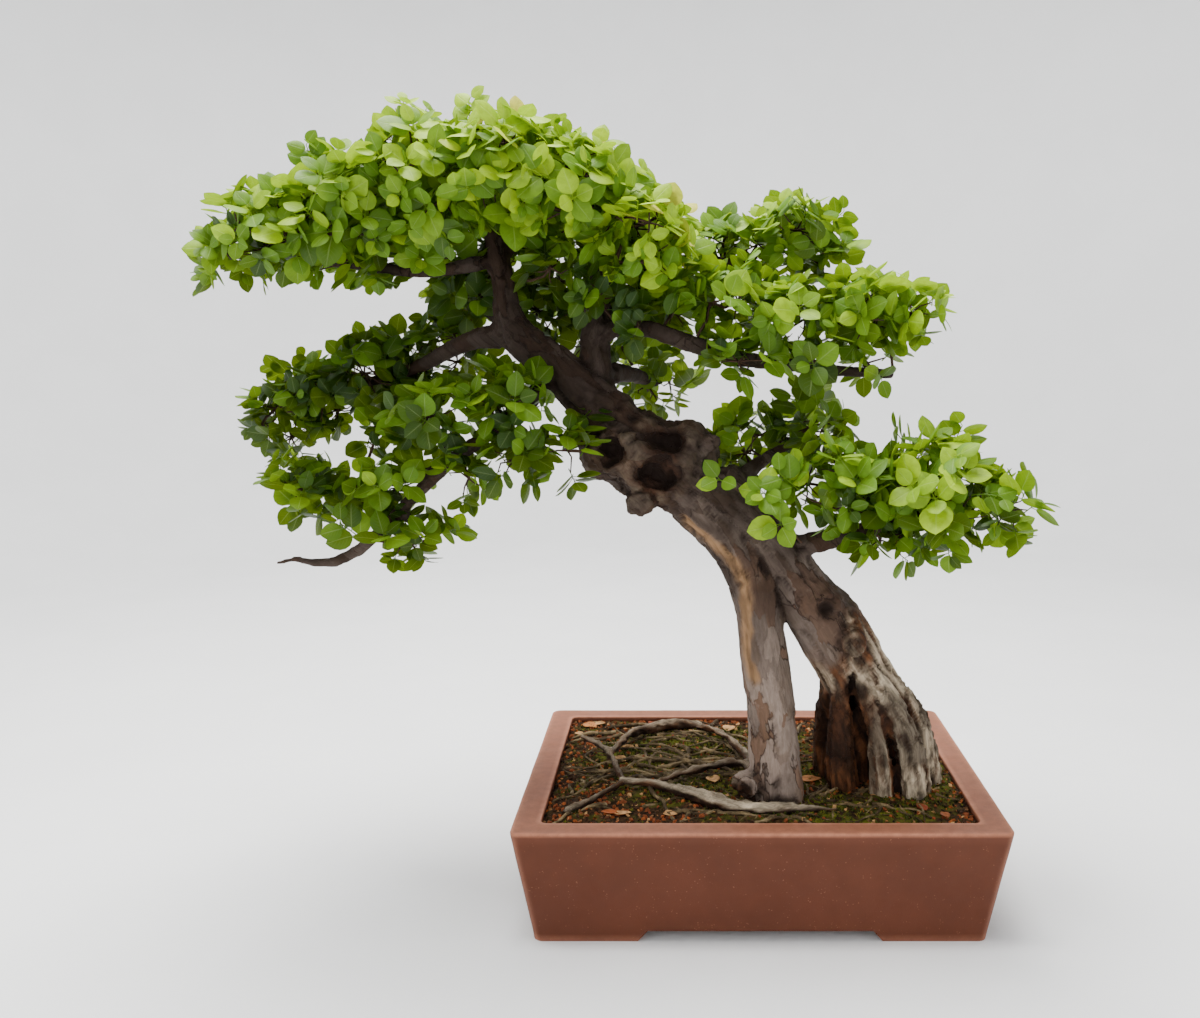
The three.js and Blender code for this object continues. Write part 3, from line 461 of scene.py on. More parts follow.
def scatter_tree():
    """Small things, picked from a collection, spread over a surface where an attribute allows."""
    tree, given, result = growth_tree("Scatter on surface", {
        "Things": ("NodeSocketCollection", None),
        "Where": ("NodeSocketString", "grit"),
        "Spacing": ("NodeSocketFloat", 0.003),
        "Density": ("NodeSocketFloat", 100000.0),
        "Smallest": ("NodeSocketFloat", 0.5),
        "Largest": ("NodeSocketFloat", 1.5),
        "Tumbled": ("NodeSocketFloat", 1.0),
        "Seed": ("NodeSocketInt", SEED),
        "Material": ("NodeSocketMaterial", None),
    })
    seed = given["Seed"]
    spread = put(tree, "GeometryNodeDistributePointsOnFaces", {
        "Mesh": given["Geometry"], "Distance Min": given["Spacing"], "Density Max": given["Density"],
        "Density Factor": attribute_of(tree, given["Where"], "FLOAT"), "Seed": seed},
        distribute_method="POISSON")
    tumble = math_of(tree, "MULTIPLY", given["Tumbled"], math.pi)
    most = put(tree, "ShaderNodeCombineXYZ", {0: tumble, 1: tumble, 2: math.tau})
    turn = put(tree, "FunctionNodeEulerToRotation", {
        "Euler": random_of(tree, "FLOAT_VECTOR", (0.0, 0.0, 0.0), most.outputs[0], seed)})
    rotation = turned_by(tree, spread.outputs["Rotation"], turn.outputs["Rotation"])
    scale = random_of(tree, "FLOAT", given["Smallest"], given["Largest"], seed)
    placed = picked_on(tree, spread.outputs["Points"], given["Things"], seed, rotation, scale)
    tinted = put(tree, "GeometryNodeStoreNamedAttribute", {
        "Geometry": placed, "Name": "tint", "Value": random_of(tree, "FLOAT", 0.0, 1.0, seed)},
        data_type="FLOAT", domain="INSTANCE")
    return closed_tree(tree, given, result, tinted.outputs["Geometry"])


def scatter(ground, name, things, settings, material):
    """Spreads things over a copy of the ground, and returns them as one object."""
    carrier = linked("carrier", ground.data.copy())
    return grow(carrier, scatter_tree(), {"Things": things, "Material": material, **settings}, name)


def kept_aside(name, pieces):
    """Collection of master shapes that only geometry trees use."""
    collection = bpy.data.collections.new(name)
    for piece in pieces:
        for holder in list(piece.users_collection):
            holder.objects.unlink(piece)
        collection.objects.link(piece)
    return collection


def clear_aside(collection):
    for piece in list(collection.objects):
        remove(piece)
    bpy.data.collections.remove(collection)


def bare_curves(name, routes):
    """Curve object with one poly spline for each route of (place in metres, radius in metres)."""
    curve = bpy.data.curves.new(name, "CURVE")
    curve.dimensions = "3D"
    for route in routes:
        spline = curve.splines.new("POLY")
        spline.points.add(len(route) - 1)
        for point, (place, radius) in zip(spline.points, route):
            point.co = (*place, 1)
            point.radius = radius
    return linked(name, curve)


# Materials, whose pattern scales are repeats for each metre

FLAKE_SCALE = 62
VEINS, VEIN_SLANT = 7.0, -2.2
STAIN = (0.01, 0.008, 0.005)


def blank_material(name, roughness, **sockets):
    material = bpy.data.materials.new(name)
    material.use_nodes = True
    tree = material.node_tree
    shader = tree.nodes["Principled BSDF"]
    shader.inputs["Roughness"].default_value = roughness
    for label, value in sockets.items():
        shader.inputs[label.replace("_", " ")].default_value = value
    return material, tree, shader


def on_object(tree):
    """Object coordinates, in metres."""
    return put(tree, "ShaderNodeTexCoord").outputs["Object"]


def on_grain(tree, squash):
    """Coordinates along the wood's own lines, squashed lengthwise so that patterns run along them."""
    return put(tree, "ShaderNodeMapping", {
        "Vector": stored(tree, "grain_place", "Vector"), "Scale": (1, 1, squash)}).outputs["Vector"]


def grain(tree, place, scale, detail=4.0, roughness=0.55, distortion=0.0):
    return put(tree, "ShaderNodeTexNoise", {
        "Vector": place, "Scale": scale, "Detail": detail, "Roughness": roughness,
        "Distortion": distortion}).outputs["Fac"]


def cells(tree, place, scale, feature="F1", output="Distance"):
    node = put(tree, "ShaderNodeTexVoronoi", {"Vector": place, "Scale": scale}, feature=feature)
    return node.outputs[output]


def ramp(tree, value, low, high):
    """0 below the first value, 1 above the second, and smooth between."""
    return put(tree, "ShaderNodeMapRange", {
        "Value": value, "From Min": low, "From Max": high}, interpolation_type="SMOOTHSTEP").outputs["Result"]


def blend(tree, share, first, second):
    """Mixes two colours, each given as a colour or as a socket."""
    node = put(tree, "ShaderNodeMix", {0: share}, data_type="RGBA")
    for index, colour in ((6, first), (7, second)):
        feed(tree, node.inputs[index], colour if isinstance(colour, bpy.types.NodeSocket) else (*colour, 1))
    return node.outputs[2]


def tinge(tree, under, colour, mask, most):
    """Lays a colour over another by a mask, at most by the share given."""
    return blend(tree, math_of(tree, "MULTIPLY", mask, most), under, colour)


def toned(colour, times):
    """A colour made darker or lighter, with no part over 1."""
    return tuple(min(1, part * times) for part in colour)


def stored(tree, name, output="Fac"):
    """A number, or with "Vector" a vector, that the mesh stores under a name."""
    return put(tree, "ShaderNodeAttribute", attribute_name=name).outputs[output]


def relief(tree, height, distance, under=None, strength=1.0):
    return put(tree, "ShaderNodeBump", {
        "Height": height, "Distance": distance, "Strength": strength, "Normal": under}).outputs["Normal"]


def clay_material(settings):
    """Unglazed clay: fine pale specks, faint clouds, paler worn edges, and a paler rim top of dust and
    painted sheen.
    """
    material, tree, shader = blank_material("unglazed_clay", 0.62, Specular_IOR_Level=0.18)
    place = on_object(tree)
    dark = toned(settings.clay, 0.84)
    colour = blend(tree, ramp(tree, grain(tree, place, 14, 5, 0.6), 0.35, 0.68), dark, settings.clay)
    colour = tinge(tree, colour, dark, ramp(tree, grain(tree, place, 900, 3), 0.5, 0.72), 0.45)
    specks = ramp(tree, cells(tree, place, 420), 0.26, 0.12)
    sparse = ramp(tree, grain(tree, place, 160, 2), 0.52, 0.64)
    colour = tinge(tree, colour, settings.pale_clay, math_of(tree, "MULTIPLY", specks, sparse), 0.25)
    scuffs = ramp(tree, grain(tree, place, 120, 6, 0.7), 0.3, 0.75)
    # Worn edges go paler, and so does the rim's top, for dust and a painted sheen
    worn_and_sheen = math_of(tree, "MULTIPLY", stored(tree, "wear"), math_of(tree, "MULTIPLY_ADD", scuffs, 0.35, 0.6),
                   clamp=True)
    feed(tree, shader.inputs["Base Color"], blend(tree, worn_and_sheen, colour, settings.pale_clay))
    tone = math_of(tree, "MULTIPLY_ADD", grain(tree, place, 60, 4), 0.25, 0.46)
    feed(tree, shader.inputs["Roughness"], tone)
    pores = relief(tree, grain(tree, place, 1400, 3), 0.12 * MM, strength=0.7)
    feed(tree, shader.inputs["Normal"], relief(tree, grain(tree, place, 90, 4), 0.35 * MM, pores, 0.5))
    return material


def bark_flakes(tree, along):
    """Flaking plates: each one's own number, and the dark line round it where it stands off."""
    flat = on_grain(tree, 0.4)
    wobble = put(tree, "ShaderNodeTexNoise", {"Vector": flat, "Scale": 85.0, "Detail": 4.0}).outputs["Color"]
    centred = put(tree, "ShaderNodeVectorMath", {0: wobble, 1: (0.5, 0.5, 0.5)}, operation="SUBTRACT")
    bent = put(tree, "ShaderNodeVectorMath", {
        0: centred.outputs[0], 1: (0.022, 0.022, 0.022), 2: flat}, operation="MULTIPLY_ADD").outputs[0]
    flake = put(tree, "ShaderNodeSeparateColor", {
        0: cells(tree, bent, FLAKE_SCALE, "F1", "Color")}).outputs[0]
    rim = ramp(tree, cells(tree, bent, FLAKE_SCALE, "DISTANCE_TO_EDGE"), 0.055, 0.0)
    return flake, math_of(tree, "MULTIPLY", rim, ramp(tree, grain(tree, along, 45, 4), 0.44, 0.6))


def plate_colours(tree, settings, along, flake, outline):
    """Grey and brown plates, some paler or redder, with dark fibres, lichen and cracks."""
    redder = tuple((brown + rust) / 2 for brown, rust in zip(settings.old_plate, settings.rust))
    fibres = ramp(tree, grain(tree, along, 420, 5, 0.65, 0.4), 0.36, 0.66)
    lichen = ramp(tree, grain(tree, on_object(tree), 70, 6, 0.7), 0.56, 0.7)
    plates = blend(tree, stored(tree, "plate"), settings.plate, settings.old_plate)
    plates = tinge(tree, plates, toned(settings.plate, 1.7), ramp(tree, flake, 0.62, 0.72), 0.55)
    plates = tinge(tree, plates, redder, ramp(tree, flake, 0.3, 0.22), 0.6)
    plates = tinge(tree, plates, toned(settings.old_plate, 0.5), fibres, 0.35)
    plates = tinge(tree, plates, toned(settings.plate, 1.5), lichen, 0.35)
    return tinge(tree, plates, settings.crack, outline, 0.8)


def deadwood_colours(tree, settings, along):
    """Dark rot that turns to rust, and bleached ridges with dark streaks."""
    rot = ramp(tree, grain(tree, along, 90, 5, 0.65), 0.4, 0.66)
    streaks = ramp(tree, grain(tree, along, 230, 5, 0.7, 0.8), 0.3, 0.7)
    rotten = blend(tree, rot, settings.rotten, settings.rust)
    bleached = blend(tree, streaks, toned(settings.bleached, 0.3), settings.bleached)
    return blend(tree, stored(tree, "bleach"), rotten, bleached)


def bark_material(settings):
    """Flaking grey-brown plates, tan underbark, dark hollows and bleached deadwood, under painted shade."""
    material, tree, shader = blank_material("bark_and_deadwood", 0.78, Specular_IOR_Level=0.1)
    along = on_grain(tree, 0.22)
    flake, outline = bark_flakes(tree, along)
    under = blend(tree, ramp(tree, grain(tree, along, 160, 4), 0.35, 0.65), settings.underbark,
                  toned(settings.underbark, 0.55))
    colour = plate_colours(tree, settings, along, flake, outline)
    colour = blend(tree, stored(tree, "underbark"), colour, under)
    colour = blend(tree, stored(tree, "dead"), colour, deadwood_colours(tree, settings, along))
    # Painted shade: the crack colour laid over the bark where the shade layer says
    colour = blend(tree, stored(tree, "shade"), colour, settings.crack)
    feed(tree, shader.inputs["Base Color"], colour)
    stepped = relief(tree, math_of(tree, "SUBTRACT", flake, outline), 0.5 * MM)
    fine = relief(tree, grain(tree, along, 700, 4, 0.6), 0.25 * MM, stepped)
    rough = relief(tree, grain(tree, along, 240, 5, 0.65, 0.5), 1.3 * MM, fine, 0.9)
    pitted = relief(tree, grain(tree, on_object(tree), 150, 6, 0.6), 1.0 * MM, rough, 0.8)
    feed(tree, shader.inputs["Normal"], pitted)
    return material


def twig_material(settings):
    """Fine dark bark of the twigs."""
    material, tree, shader = blank_material("twig_bark", 0.75, Specular_IOR_Level=0.1)
    place = on_object(tree)
    tone = ramp(tree, grain(tree, place, 220, 4, 0.6), 0.3, 0.7)
    feed(tree, shader.inputs["Base Color"], blend(tree, tone, toned(settings.twig, 0.55), settings.twig))
    feed(tree, shader.inputs["Normal"], relief(tree, grain(tree, place, 900, 3), 0.2 * MM))
    return material


def leaf_lines(tree, across, up):
    """The rib and the slanting side veins of a leaf, from its own place across and up the blade."""
    side = math_of(tree, "ABSOLUTE", across)
    slant = math_of(tree, "MULTIPLY_ADD", up, VEINS, math_of(tree, "MULTIPLY", side, VEIN_SLANT))
    ridge = math_of(tree, "PINGPONG", slant, 0.5)
    veins = math_of(tree, "MULTIPLY", ramp(tree, ridge, 0.1, 0.0), ramp(tree, side, 0.95, 0.2))
    rib = ramp(tree, side, 0.09, 0.02)
    return math_of(tree, "MAXIMUM", rib, math_of(tree, "MULTIPLY", veins, 0.45))


def leaf_material(settings):
    """Thin leaves with light through them: pale rib and veins, and tones from shoot to shoot that paint light
    and shade.
    """
    material, tree, shader = blank_material("sweet_plum_leaf", 0.48, Specular_IOR_Level=0.22)
    tone, tint = stored(tree, "tone"), stored(tree, "leaf_tint")
    blade = put(tree, "ShaderNodeSeparateXYZ", {0: stored(tree, "leaf_place", "Vector")})
    shift = math_of(tree, "MULTIPLY_ADD", math_of(tree, "SUBTRACT", tint, 0.5), 0.7, tone)
    aged = ramp(tree, math_of(tree, "MULTIPLY", tint, tone), 0.86, 0.96)
    clouds_on_leaf = ramp(tree, grain(tree, on_object(tree), 190, 3), 0.35, 0.65)
    # Painted light and shade: the shoot's tone picks among the shaded, full and bright greens
    colour = blend(tree, ramp(tree, shift, -0.05, 0.45), settings.shaded_leaf, settings.leaf)
    colour = blend(tree, ramp(tree, shift, 0.45, 1.05), colour, settings.bright_leaf)
    colour = blend(tree, aged, colour, settings.yellow_leaf)
    colour = tinge(tree, colour, settings.shaded_leaf, clouds_on_leaf, 0.22)
    lines = leaf_lines(tree, blade.outputs["X"], blade.outputs["Y"])
    colour = tinge(tree, colour, blend(tree, 0.5, colour, settings.rib), lines, 0.3)
    feed(tree, shader.inputs["Base Color"], colour)
    bumps = relief(tree, math_of(tree, "SUBTRACT", 1.0, lines), 0.25 * MM, strength=0.6)
    feed(tree, shader.inputs["Normal"], bumps)
    through = put(tree, "ShaderNodeBsdfTranslucent", {
        "Color": blend(tree, 0.5, colour, settings.glow), "Normal": bumps})
    mixed = put(tree, "ShaderNodeMixShader", {
        0: settings.light_through, 1: shader.outputs["BSDF"], 2: through.outputs["BSDF"]})
    feed(tree, tree.nodes["Material Output"].inputs["Surface"], mixed.outputs["Shader"])
    return material


def soil_material(settings):
    """Dark damp soil between the grit, with greenish moss in patches."""
    material, tree, shader = blank_material("damp_soil", 0.9, Specular_IOR_Level=0.08)
    place = on_object(tree)
    drier = ramp(tree, grain(tree, place, 260, 5, 0.7), 0.35, 0.66)
    moss = math_of(tree, "MULTIPLY", stored(tree, "moss"), ramp(tree, grain(tree, place, 150, 5), 0.4, 0.6))
    colour = blend(tree, moss, blend(tree, drier, settings.soil, settings.warm_soil), settings.moss)
    feed(tree, shader.inputs["Base Color"], colour)
    feed(tree, shader.inputs["Normal"], relief(tree, grain(tree, place, 500, 5, 0.7), 1.4 * MM))
    return material


def tinted_material(name, roughness, colours, scale=400):
    """Rough natural stuff whose pieces differ: colours are picked by each piece's own tint."""
    material, tree, shader = blank_material(name, roughness, Specular_IOR_Level=0.15)
    tint = stored(tree, "tint")
    place = on_object(tree)
    colour = colours[0]
    for index, other in enumerate(colours[1:], 1):
        edge = index / len(colours)
        colour = blend(tree, ramp(tree, tint, edge - 0.02, edge + 0.02), colour, other)
    stains = ramp(tree, grain(tree, place, scale, 4, 0.6), 0.3, 0.7)
    feed(tree, shader.inputs["Base Color"], tinge(tree, colour, STAIN, stains, 0.55))
    feed(tree, shader.inputs["Normal"], relief(tree, grain(tree, place, scale * 2, 4), 0.3 * MM))
    return material


def screen_material():
    """Black moulded plastic mesh."""
    material, tree, shader = blank_material("black_plastic_mesh", 0.5)
    place = on_object(tree)
    colour = blend(tree, ramp(tree, grain(tree, place, 80, 4), 0.3, 0.7), (0.012, 0.013, 0.015),
                   (0.03, 0.03, 0.03))
    feed(tree, shader.inputs["Base Color"], colour)
    feed(tree, shader.inputs["Normal"], relief(tree, grain(tree, place, 1500, 2), 0.05 * MM))
    return material


def stage_material(settings):
    """Plain pale ground with the faintest grain."""
    material, tree, shader = blank_material("pale_ground", 0.85)
    faint = ramp(tree, grain(tree, on_object(tree), 6, 4), 0.3, 0.7)
    feed(tree, shader.inputs["Base Color"], blend(tree, faint, toned(settings.ground, 0.97), settings.ground))
    return material


# Settings that the sidebar shows

def length_setting(name, description, default):
    return FloatProperty(name=name, description=description, default=default, unit="LENGTH", precision=4)


def colour_setting(name, description, default):
    return FloatVectorProperty(name=name, description=description, default=default, subtype="COLOR",
                               size=3, min=0.0, max=1.0)


class BonsaiPotSettings(bpy.types.PropertyGroup):
    """Sizes and colours of the clay pot."""
    lean: length_setting("Lean", "How far each wall leans in from the rim down to the feet", 0.016)
    rim_width: length_setting("Rim width", "How far the flat lip reaches in", 0.023)
    lip_height: length_setting("Lip height", "Thickness of the lip", 0.009)
    wall: length_setting("Wall", "Thickness of the walls", 0.012)
    floor: length_setting("Floor", "Thickness of the floor", 0.010)
    foot: length_setting("Foot height", "Height of the four feet", 0.0095)
    foot_band: length_setting("Foot width", "Width of each foot along the wall", 0.022)
    corner: length_setting("Corner radius", "Radius of the upright corners", 0.008)
    edge: length_setting("Rim edge radius", "Radius of the rim's outer edge", 0.0018)
    front_gap: length_setting("Front gap", "Half width of the gap between the front feet", 0.099)
    side_gap: length_setting("Side gap", "Half width of the gap between the feet at the sides", 0.066)
    gap_slope: length_setting("Gap slope", "How much narrower each side of a gap is at its top", 0.008)
    drain_radius: length_setting("Drain radius", "Radius of the drain holes", 0.013)
    drain_spacing: length_setting("Drain spacing", "Distance between the drain holes", 0.190)
    clay: colour_setting("Clay", "Colour of the fired clay", (0.100, 0.028, 0.0125))
    # Pale clay of the specks and worn edges, and of the painted sheen on the rim's top
    pale_clay: colour_setting("Worn clay", "Colour of specks and worn edges", (0.46, 0.190, 0.115))


class BonsaiWoodSettings(bpy.types.PropertyGroup):
    """Sizes and colours of bark, deadwood and twigs."""
    grid: length_setting("Grid", "Size of the facets that the bark is carved in", 0.00206)
    plate_width: length_setting("Plate width", "Width of a bark plate", 0.015)
    plate_depth: length_setting("Plate depth", "Depth of the cracks between plates", 0.0011)
    groove_depth: length_setting("Groove depth", "Depth of the grooves in the deadwood", 0.0026)
    plate: colour_setting("Plate", "Grey of the bark plates", (0.195, 0.150, 0.124))
    old_plate: colour_setting("Old plate", "Brown of the older plates", (0.112, 0.076, 0.052))
    # Also the dark of the painted shade on the bark
    crack: colour_setting("Crack", "Colour of cracks and hollows", (0.014, 0.008, 0.006))
    rust: colour_setting("Rust", "Red-brown of rubbed bark and rot", (0.185, 0.070, 0.028))
    underbark: colour_setting("Underbark", "Tan of the fresh underbark", (0.300, 0.175, 0.090))
    rotten: colour_setting("Rotten", "Dark brown of the rotten wood", (0.042, 0.019, 0.009))
    bleached: colour_setting("Bleached", "Pale deadwood ridges", (0.640, 0.520, 0.370))
    twig: colour_setting("Twig", "Colour of the fine twigs", (0.070, 0.040, 0.026))


class BonsaiLeafSettings(bpy.types.PropertyGroup):
    """Sizes and colours of the leaves."""
    blade_length: length_setting("Leaf length", "Length of a full-grown leaf", 0.0240)
    blade_width: length_setting("Leaf width", "Width of a full-grown leaf", 0.0196)
    spacing: length_setting("Shoot spacing", "Least distance between shoots on a head", 0.0169)
    seed: IntProperty(name="Seed", description="Seed of the leaves' places", default=SEED)
    shaded_leaf: colour_setting("Shaded leaf", "Dark green of inner leaves", (0.010, 0.034, 0.002))
    leaf: colour_setting("Leaf", "Green of full-grown leaves", (0.095, 0.205, 0.006))
    # Painted light as well as young growth: the green of shoots with a high tone, high up, facing the sky, in
    # bright heads
    bright_leaf: colour_setting("Bright leaf", "Yellow-green of young leaves", (0.370, 0.560, 0.010))
    yellow_leaf: colour_setting("Yellow leaf", "The few yellow leaves", (0.620, 0.560, 0.080))
    rib: colour_setting("Rib", "Pale green of ribs and veins", (0.520, 0.640, 0.240))
    glow: colour_setting("Glow", "Colour of light that comes through a leaf", (0.520, 0.760, 0.012))
    light_through: FloatProperty(name="Light through", description="Share of light that leaves let through",
                                 default=0.24, min=0.0, max=1.0, subtype="FACTOR")


class BonsaiSoilSettings(bpy.types.PropertyGroup):
    """Sizes and colours of the soil and what lies on it."""
    grid: length_setting("Grid", "Size of the facets of the soil's surface", 0.0028)
    grit: length_setting("Grit", "Distance between bits of grit", 0.0036)
    soil: colour_setting("Soil", "Dark of damp soil", (0.009, 0.005, 0.003))
    warm_soil: colour_setting("Warm soil", "Brown of drier soil", (0.060, 0.030, 0.014))
    moss: colour_setting("Moss", "Green of the moss", (0.090, 0.100, 0.009))


class BonsaiStageSettings(bpy.types.PropertyGroup):
    """Camera, ground and lights."""
    lens: FloatProperty(name="Lens", description="Focal length in millimetres", default=35.0, min=1.0)
    tilt: FloatProperty(name="Tilt", description="How far the camera looks down", default=math.radians(8.27),
                        subtype="ANGLE")
    ground: colour_setting("Ground", "Colour of the ground", (0.90, 0.905, 0.915))
    show_backdrop: BoolProperty(name="Backdrop", description="Raise the ground into a backdrop", default=True)


# Pot

def pot_ring(half_x, half_y, radius, z):
    """Points round a rectangle with round corners, evenly spaced along its sides."""
    long_steps, short_steps, corner_steps = 56, 44, 8
    ring = []
    for corner, (sign_x, sign_y) in enumerate(((1, 1), (-1, 1), (-1, -1), (1, -1))):
        centre = Vector((sign_x * (half_x - radius), sign_y * (half_y - radius), z))
        for step in range(corner_steps + 1):
            angle = (corner + step / corner_steps) * math.pi / 2
            ring.append(centre + radius * Vector((math.cos(angle), math.sin(angle), 0)))
        start = ring[-1].copy()
        after = ((-1, 1), (-1, -1), (1, -1), (1, 1))[corner]
        turn = (corner + 1) * math.pi / 2
        stop = Vector((after[0] * (half_x - radius), after[1] * (half_y - radius), z))
        stop += radius * Vector((math.cos(turn), math.sin(turn), 0))
        steps = long_steps if corner % 2 == 0 else short_steps
        ring += [start.lerp(stop, step / steps) for step in range(1, steps)]
    return ring


def lofted(name, rings):
    """A closed solid through rings of equal length, the first and last filled."""
    count = len(rings[0])
    vertices = [p for ring in rings for p in ring]
    faces = [tuple(reversed(range(count)))]
    for level in range(len(rings) - 1):
        low, high = level * count, (level + 1) * count
        for i in range(count):
            j = (i + 1) % count
            faces.append((low + i, low + j, high + j, high + i))
    faces.append(tuple(range(len(vertices) - count, len(vertices))))
    return mesh_object(name, vertices, faces)


def pot_profile(pot):
    """Levels of the pot from the foot's outside over the rim to the floor: inset and height."""
    height = POT_SIZE.z
    lean = pot.lean

    def wall_inset(z):
        return lean * (1 - z / height)

    levels = [(wall_inset(z), z) for z in spaced(0, height - 2 * pot.edge, 15)]
    for step in range(1, 6):
        angle = step / 5 * math.pi / 2
        levels.append((wall_inset(height - pot.edge) + pot.edge * (1 - math.cos(angle)),
                       height - pot.edge + pot.edge * math.sin(angle)))
    inner_edge = pot.edge * 0.8
    levels += [(inset, height) for inset in spaced(pot.edge * 2, pot.rim_width - inner_edge, 6)]
    for step in range(1, 5):
        angle = step / 4 * math.pi / 2
        levels.append((pot.rim_width - inner_edge * (1 - math.sin(angle)),
                       height - inner_edge * (1 - math.cos(angle))))
    under = height - pot.lip_height
    levels += [(pot.rim_width, (height + under) / 2), (pot.rim_width, under)]
    levels += [(wall_inset(z) + pot.wall, z) for z in spaced(under - 0.005, pot.foot + pot.floor, 6)]
    return levels


def foot_cutters(pot):
    """Shapes that are cut from under the pot: two channels, the space inside the feet, the drains."""
    half = POT_SIZE / 2
    below = -0.002
    grown = pot.gap_slope * -below / pot.foot
    foot_x, foot_y = half.x - pot.lean - pot.foot_band, half.y - pot.lean - pot.foot_band
    outlines = {
        "front_channel": [(pot.front_gap + grown, 1.2 * half.y, below),
                          (pot.front_gap - pot.gap_slope, 1.2 * half.y, pot.foot)],
        "side_channel": [(1.2 * half.x, pot.side_gap + grown, below),
                         (1.2 * half.x, pot.side_gap - pot.gap_slope, pot.foot)],
        "underside": [(foot_x, foot_y, below), (foot_x, foot_y, pot.foot)],
    }
    made = []
    for name, levels in outlines.items():
        corners = [[Vector((sx * x, sy * y, z)) for sx, sy in ((1, 1), (-1, 1), (-1, -1), (1, -1))]
                   for x, y, z in levels]
        made.append(lofted(name, corners))
    for side in (-1, 1):
        rings = [[Vector((side * pot.drain_spacing / 2 + pot.drain_radius * math.cos(a),
                          pot.drain_radius * math.sin(a), z)) for a in spaced(0, math.tau, 33)[:-1]]
                 for z in (below, pot.foot + 2 * pot.floor)]
        made.append(lofted("drain", rings))
    return made


def pot_wear_and_sheen(points, pot):
    """How worn the clay is at each point: most along the rim, the corners and the feet's edges.
    The rim's flat top is also paler, for dust and a painted sheen of the light above.
    """
    half, height = POT_SIZE / 2, POT_SIZE.z
    x, y, z = np.abs(points[:, 0]), np.abs(points[:, 1]), points[:, 2]
    inset = np.minimum(half.x - x, half.y - y)
    wall = pot.lean * (1 - z / height)
    outside = inset < wall + pot.wall * 0.5
    rounding = pot.corner * 0.3

    def near(distance, reach):
        return np.exp(-(distance / reach) ** 2)

    rim = near(np.hypot(inset - pot.edge * 0.3, z - height), 0.0022)
    inner_edge = near(np.hypot(inset - pot.rim_width, z - height), 0.002)
    corner = near(np.hypot(half.x - wall - x - rounding, half.y - wall - y - rounding), 0.0028)
    foot = near(np.where(outside, z, 1.0), 0.0015)
    # The rim's flat top, paler for dust and a painted sheen of the light above
    top = z > height - 0.0005
    return np.clip(rim + 0.8 * inner_edge + 0.35 * corner * outside + 0.5 * foot + 0.55 * top, 0, 1)


class BONSAI_OT_add_pot(bpy.types.Operator):
    """Add the clay pot with its rim, feet and drain holes."""
    bl_idname = "bonsai.add_pot"
    bl_label = "Add Pot"

    def execute(self, context):
        pot = context.scene.bonsai_pot
        half = POT_SIZE / 2
        rings = []
        for inset, z in pot_profile(pot):
            radius = max(pot.corner * 0.6, pot.corner - max(0, inset - pot.lean) * 0.25)
            rings.append(pot_ring(half.x - inset, half.y - inset, radius, z))
        piece = lofted("pot_raw", rings)
        waves = clouds(places(piece.data) / MM, 90, 2)[:, None] * normals(piece.data) * 0.35 * MM
        waves[places(piece.data)[:, 2] < 0.003] = 0
        move_to(piece.data, places(piece.data) - np.abs(waves) * np.sign(normals(piece.data)))
        cutters = foot_cutters(pot)
        for cutter in cutters:
            cut = piece.modifiers.new(cutter.name, "BOOLEAN")
            cut.object = cutter
            cut.solver = "EXACT"
        soft = piece.modifiers.new("soft_edges", "BEVEL")
        soft.width = 0.0009
        soft.segments = 2
        soft.limit_method = "ANGLE"
        soft.angle_limit = math.radians(50)
        piece = finished(piece, "clay_pot")
        for cutter in cutters:
            remove(cutter)
        points = places(piece.data)
        store(piece.data, "wear", pot_wear_and_sheen(points, pot))
        move_to(piece.data, points + np.array(POT_MIDDLE))
        settle(piece, "clay", "pot", material=clay_material(pot))
        return {"FINISHED"}


class BONSAI_OT_finish_drain_screens(bpy.types.Operator):
    """Give the two drain screens, kept as they are, their black plastic."""
    bl_idname = "bonsai.finish_drain_screens"
    bl_label = "Finish Drain Screens"

    def execute(self, context):
        material = screen_material()
        for name in ("drain_screen_left", "drain_screen_right"):
            frame["nodes"][name].material_slots[0].material = material
        return {"FINISHED"}


# Soil

# Patches of moss: middle x and y, and half sizes
MOSS_PATCHES = [(60, -104, 70, 26), (-60, -60, 60, 34), (20, -20, 60, 40), (110, -100, 40, 24),
                (-90, 20, 50, 60), (150, -20, 24, 60), (-10, 60, 70, 40)]
# Fallen leaves: x, y and half length
LITTER_PLACES = [(-157, 107, 10), (-148, 112, 7), (-18, 98, 10), (-121, 13, 8), (48, -46, 11),
                 (-123, -110, 7), (-112, -112, 7), (-73, -114, 6), (135, -102, 7), (152, -112, 6),
                 (-37, -44, 10), (-116, 45, 6), (-166, 88, 6), (-96, 120, 5), (30, 112, 6), (-134, 78, 5)]
ROOT_MATS = [
    # middle x and y, half sizes, how many, heading in degrees, length, radius
    (-70, 30, 62, 60, 34, -12, 100, 1.7),
    (-62, -14, 56, 26, 18, 4, 84, 2.1),
    (-90, 92, 56, 24, 16, 10, 70, 1.9),
    (-24, -112, 60, 12, 14, -6, 70, 1.3),
    (64, -92, 46, 22, 22, 20, 46, 1.3),
    (-130, -60, 34, 50, 12, 60, 50, 1.4),
    (130, -84, 30, 36, 12, 110, 42, 1.1),
    (30, 20, 50, 70, 14, -50, 60, 1.2),
]

EARTH_COLOURS = [(0.030, 0.014, 0.007), (0.095, 0.042, 0.018), (0.012, 0.006, 0.004), (0.230, 0.110, 0.044),
                 (0.360, 0.090, 0.022), (0.050, 0.022, 0.010), (0.240, 0.060, 0.018)]
RUST_COLOURS = [(0.420, 0.095, 0.018), (0.520, 0.200, 0.060), (0.260, 0.050, 0.016), (0.560, 0.300, 0.120)]
ROOT_COLOURS = [(0.060, 0.038, 0.018), (0.120, 0.082, 0.040), (0.240, 0.170, 0.085)]
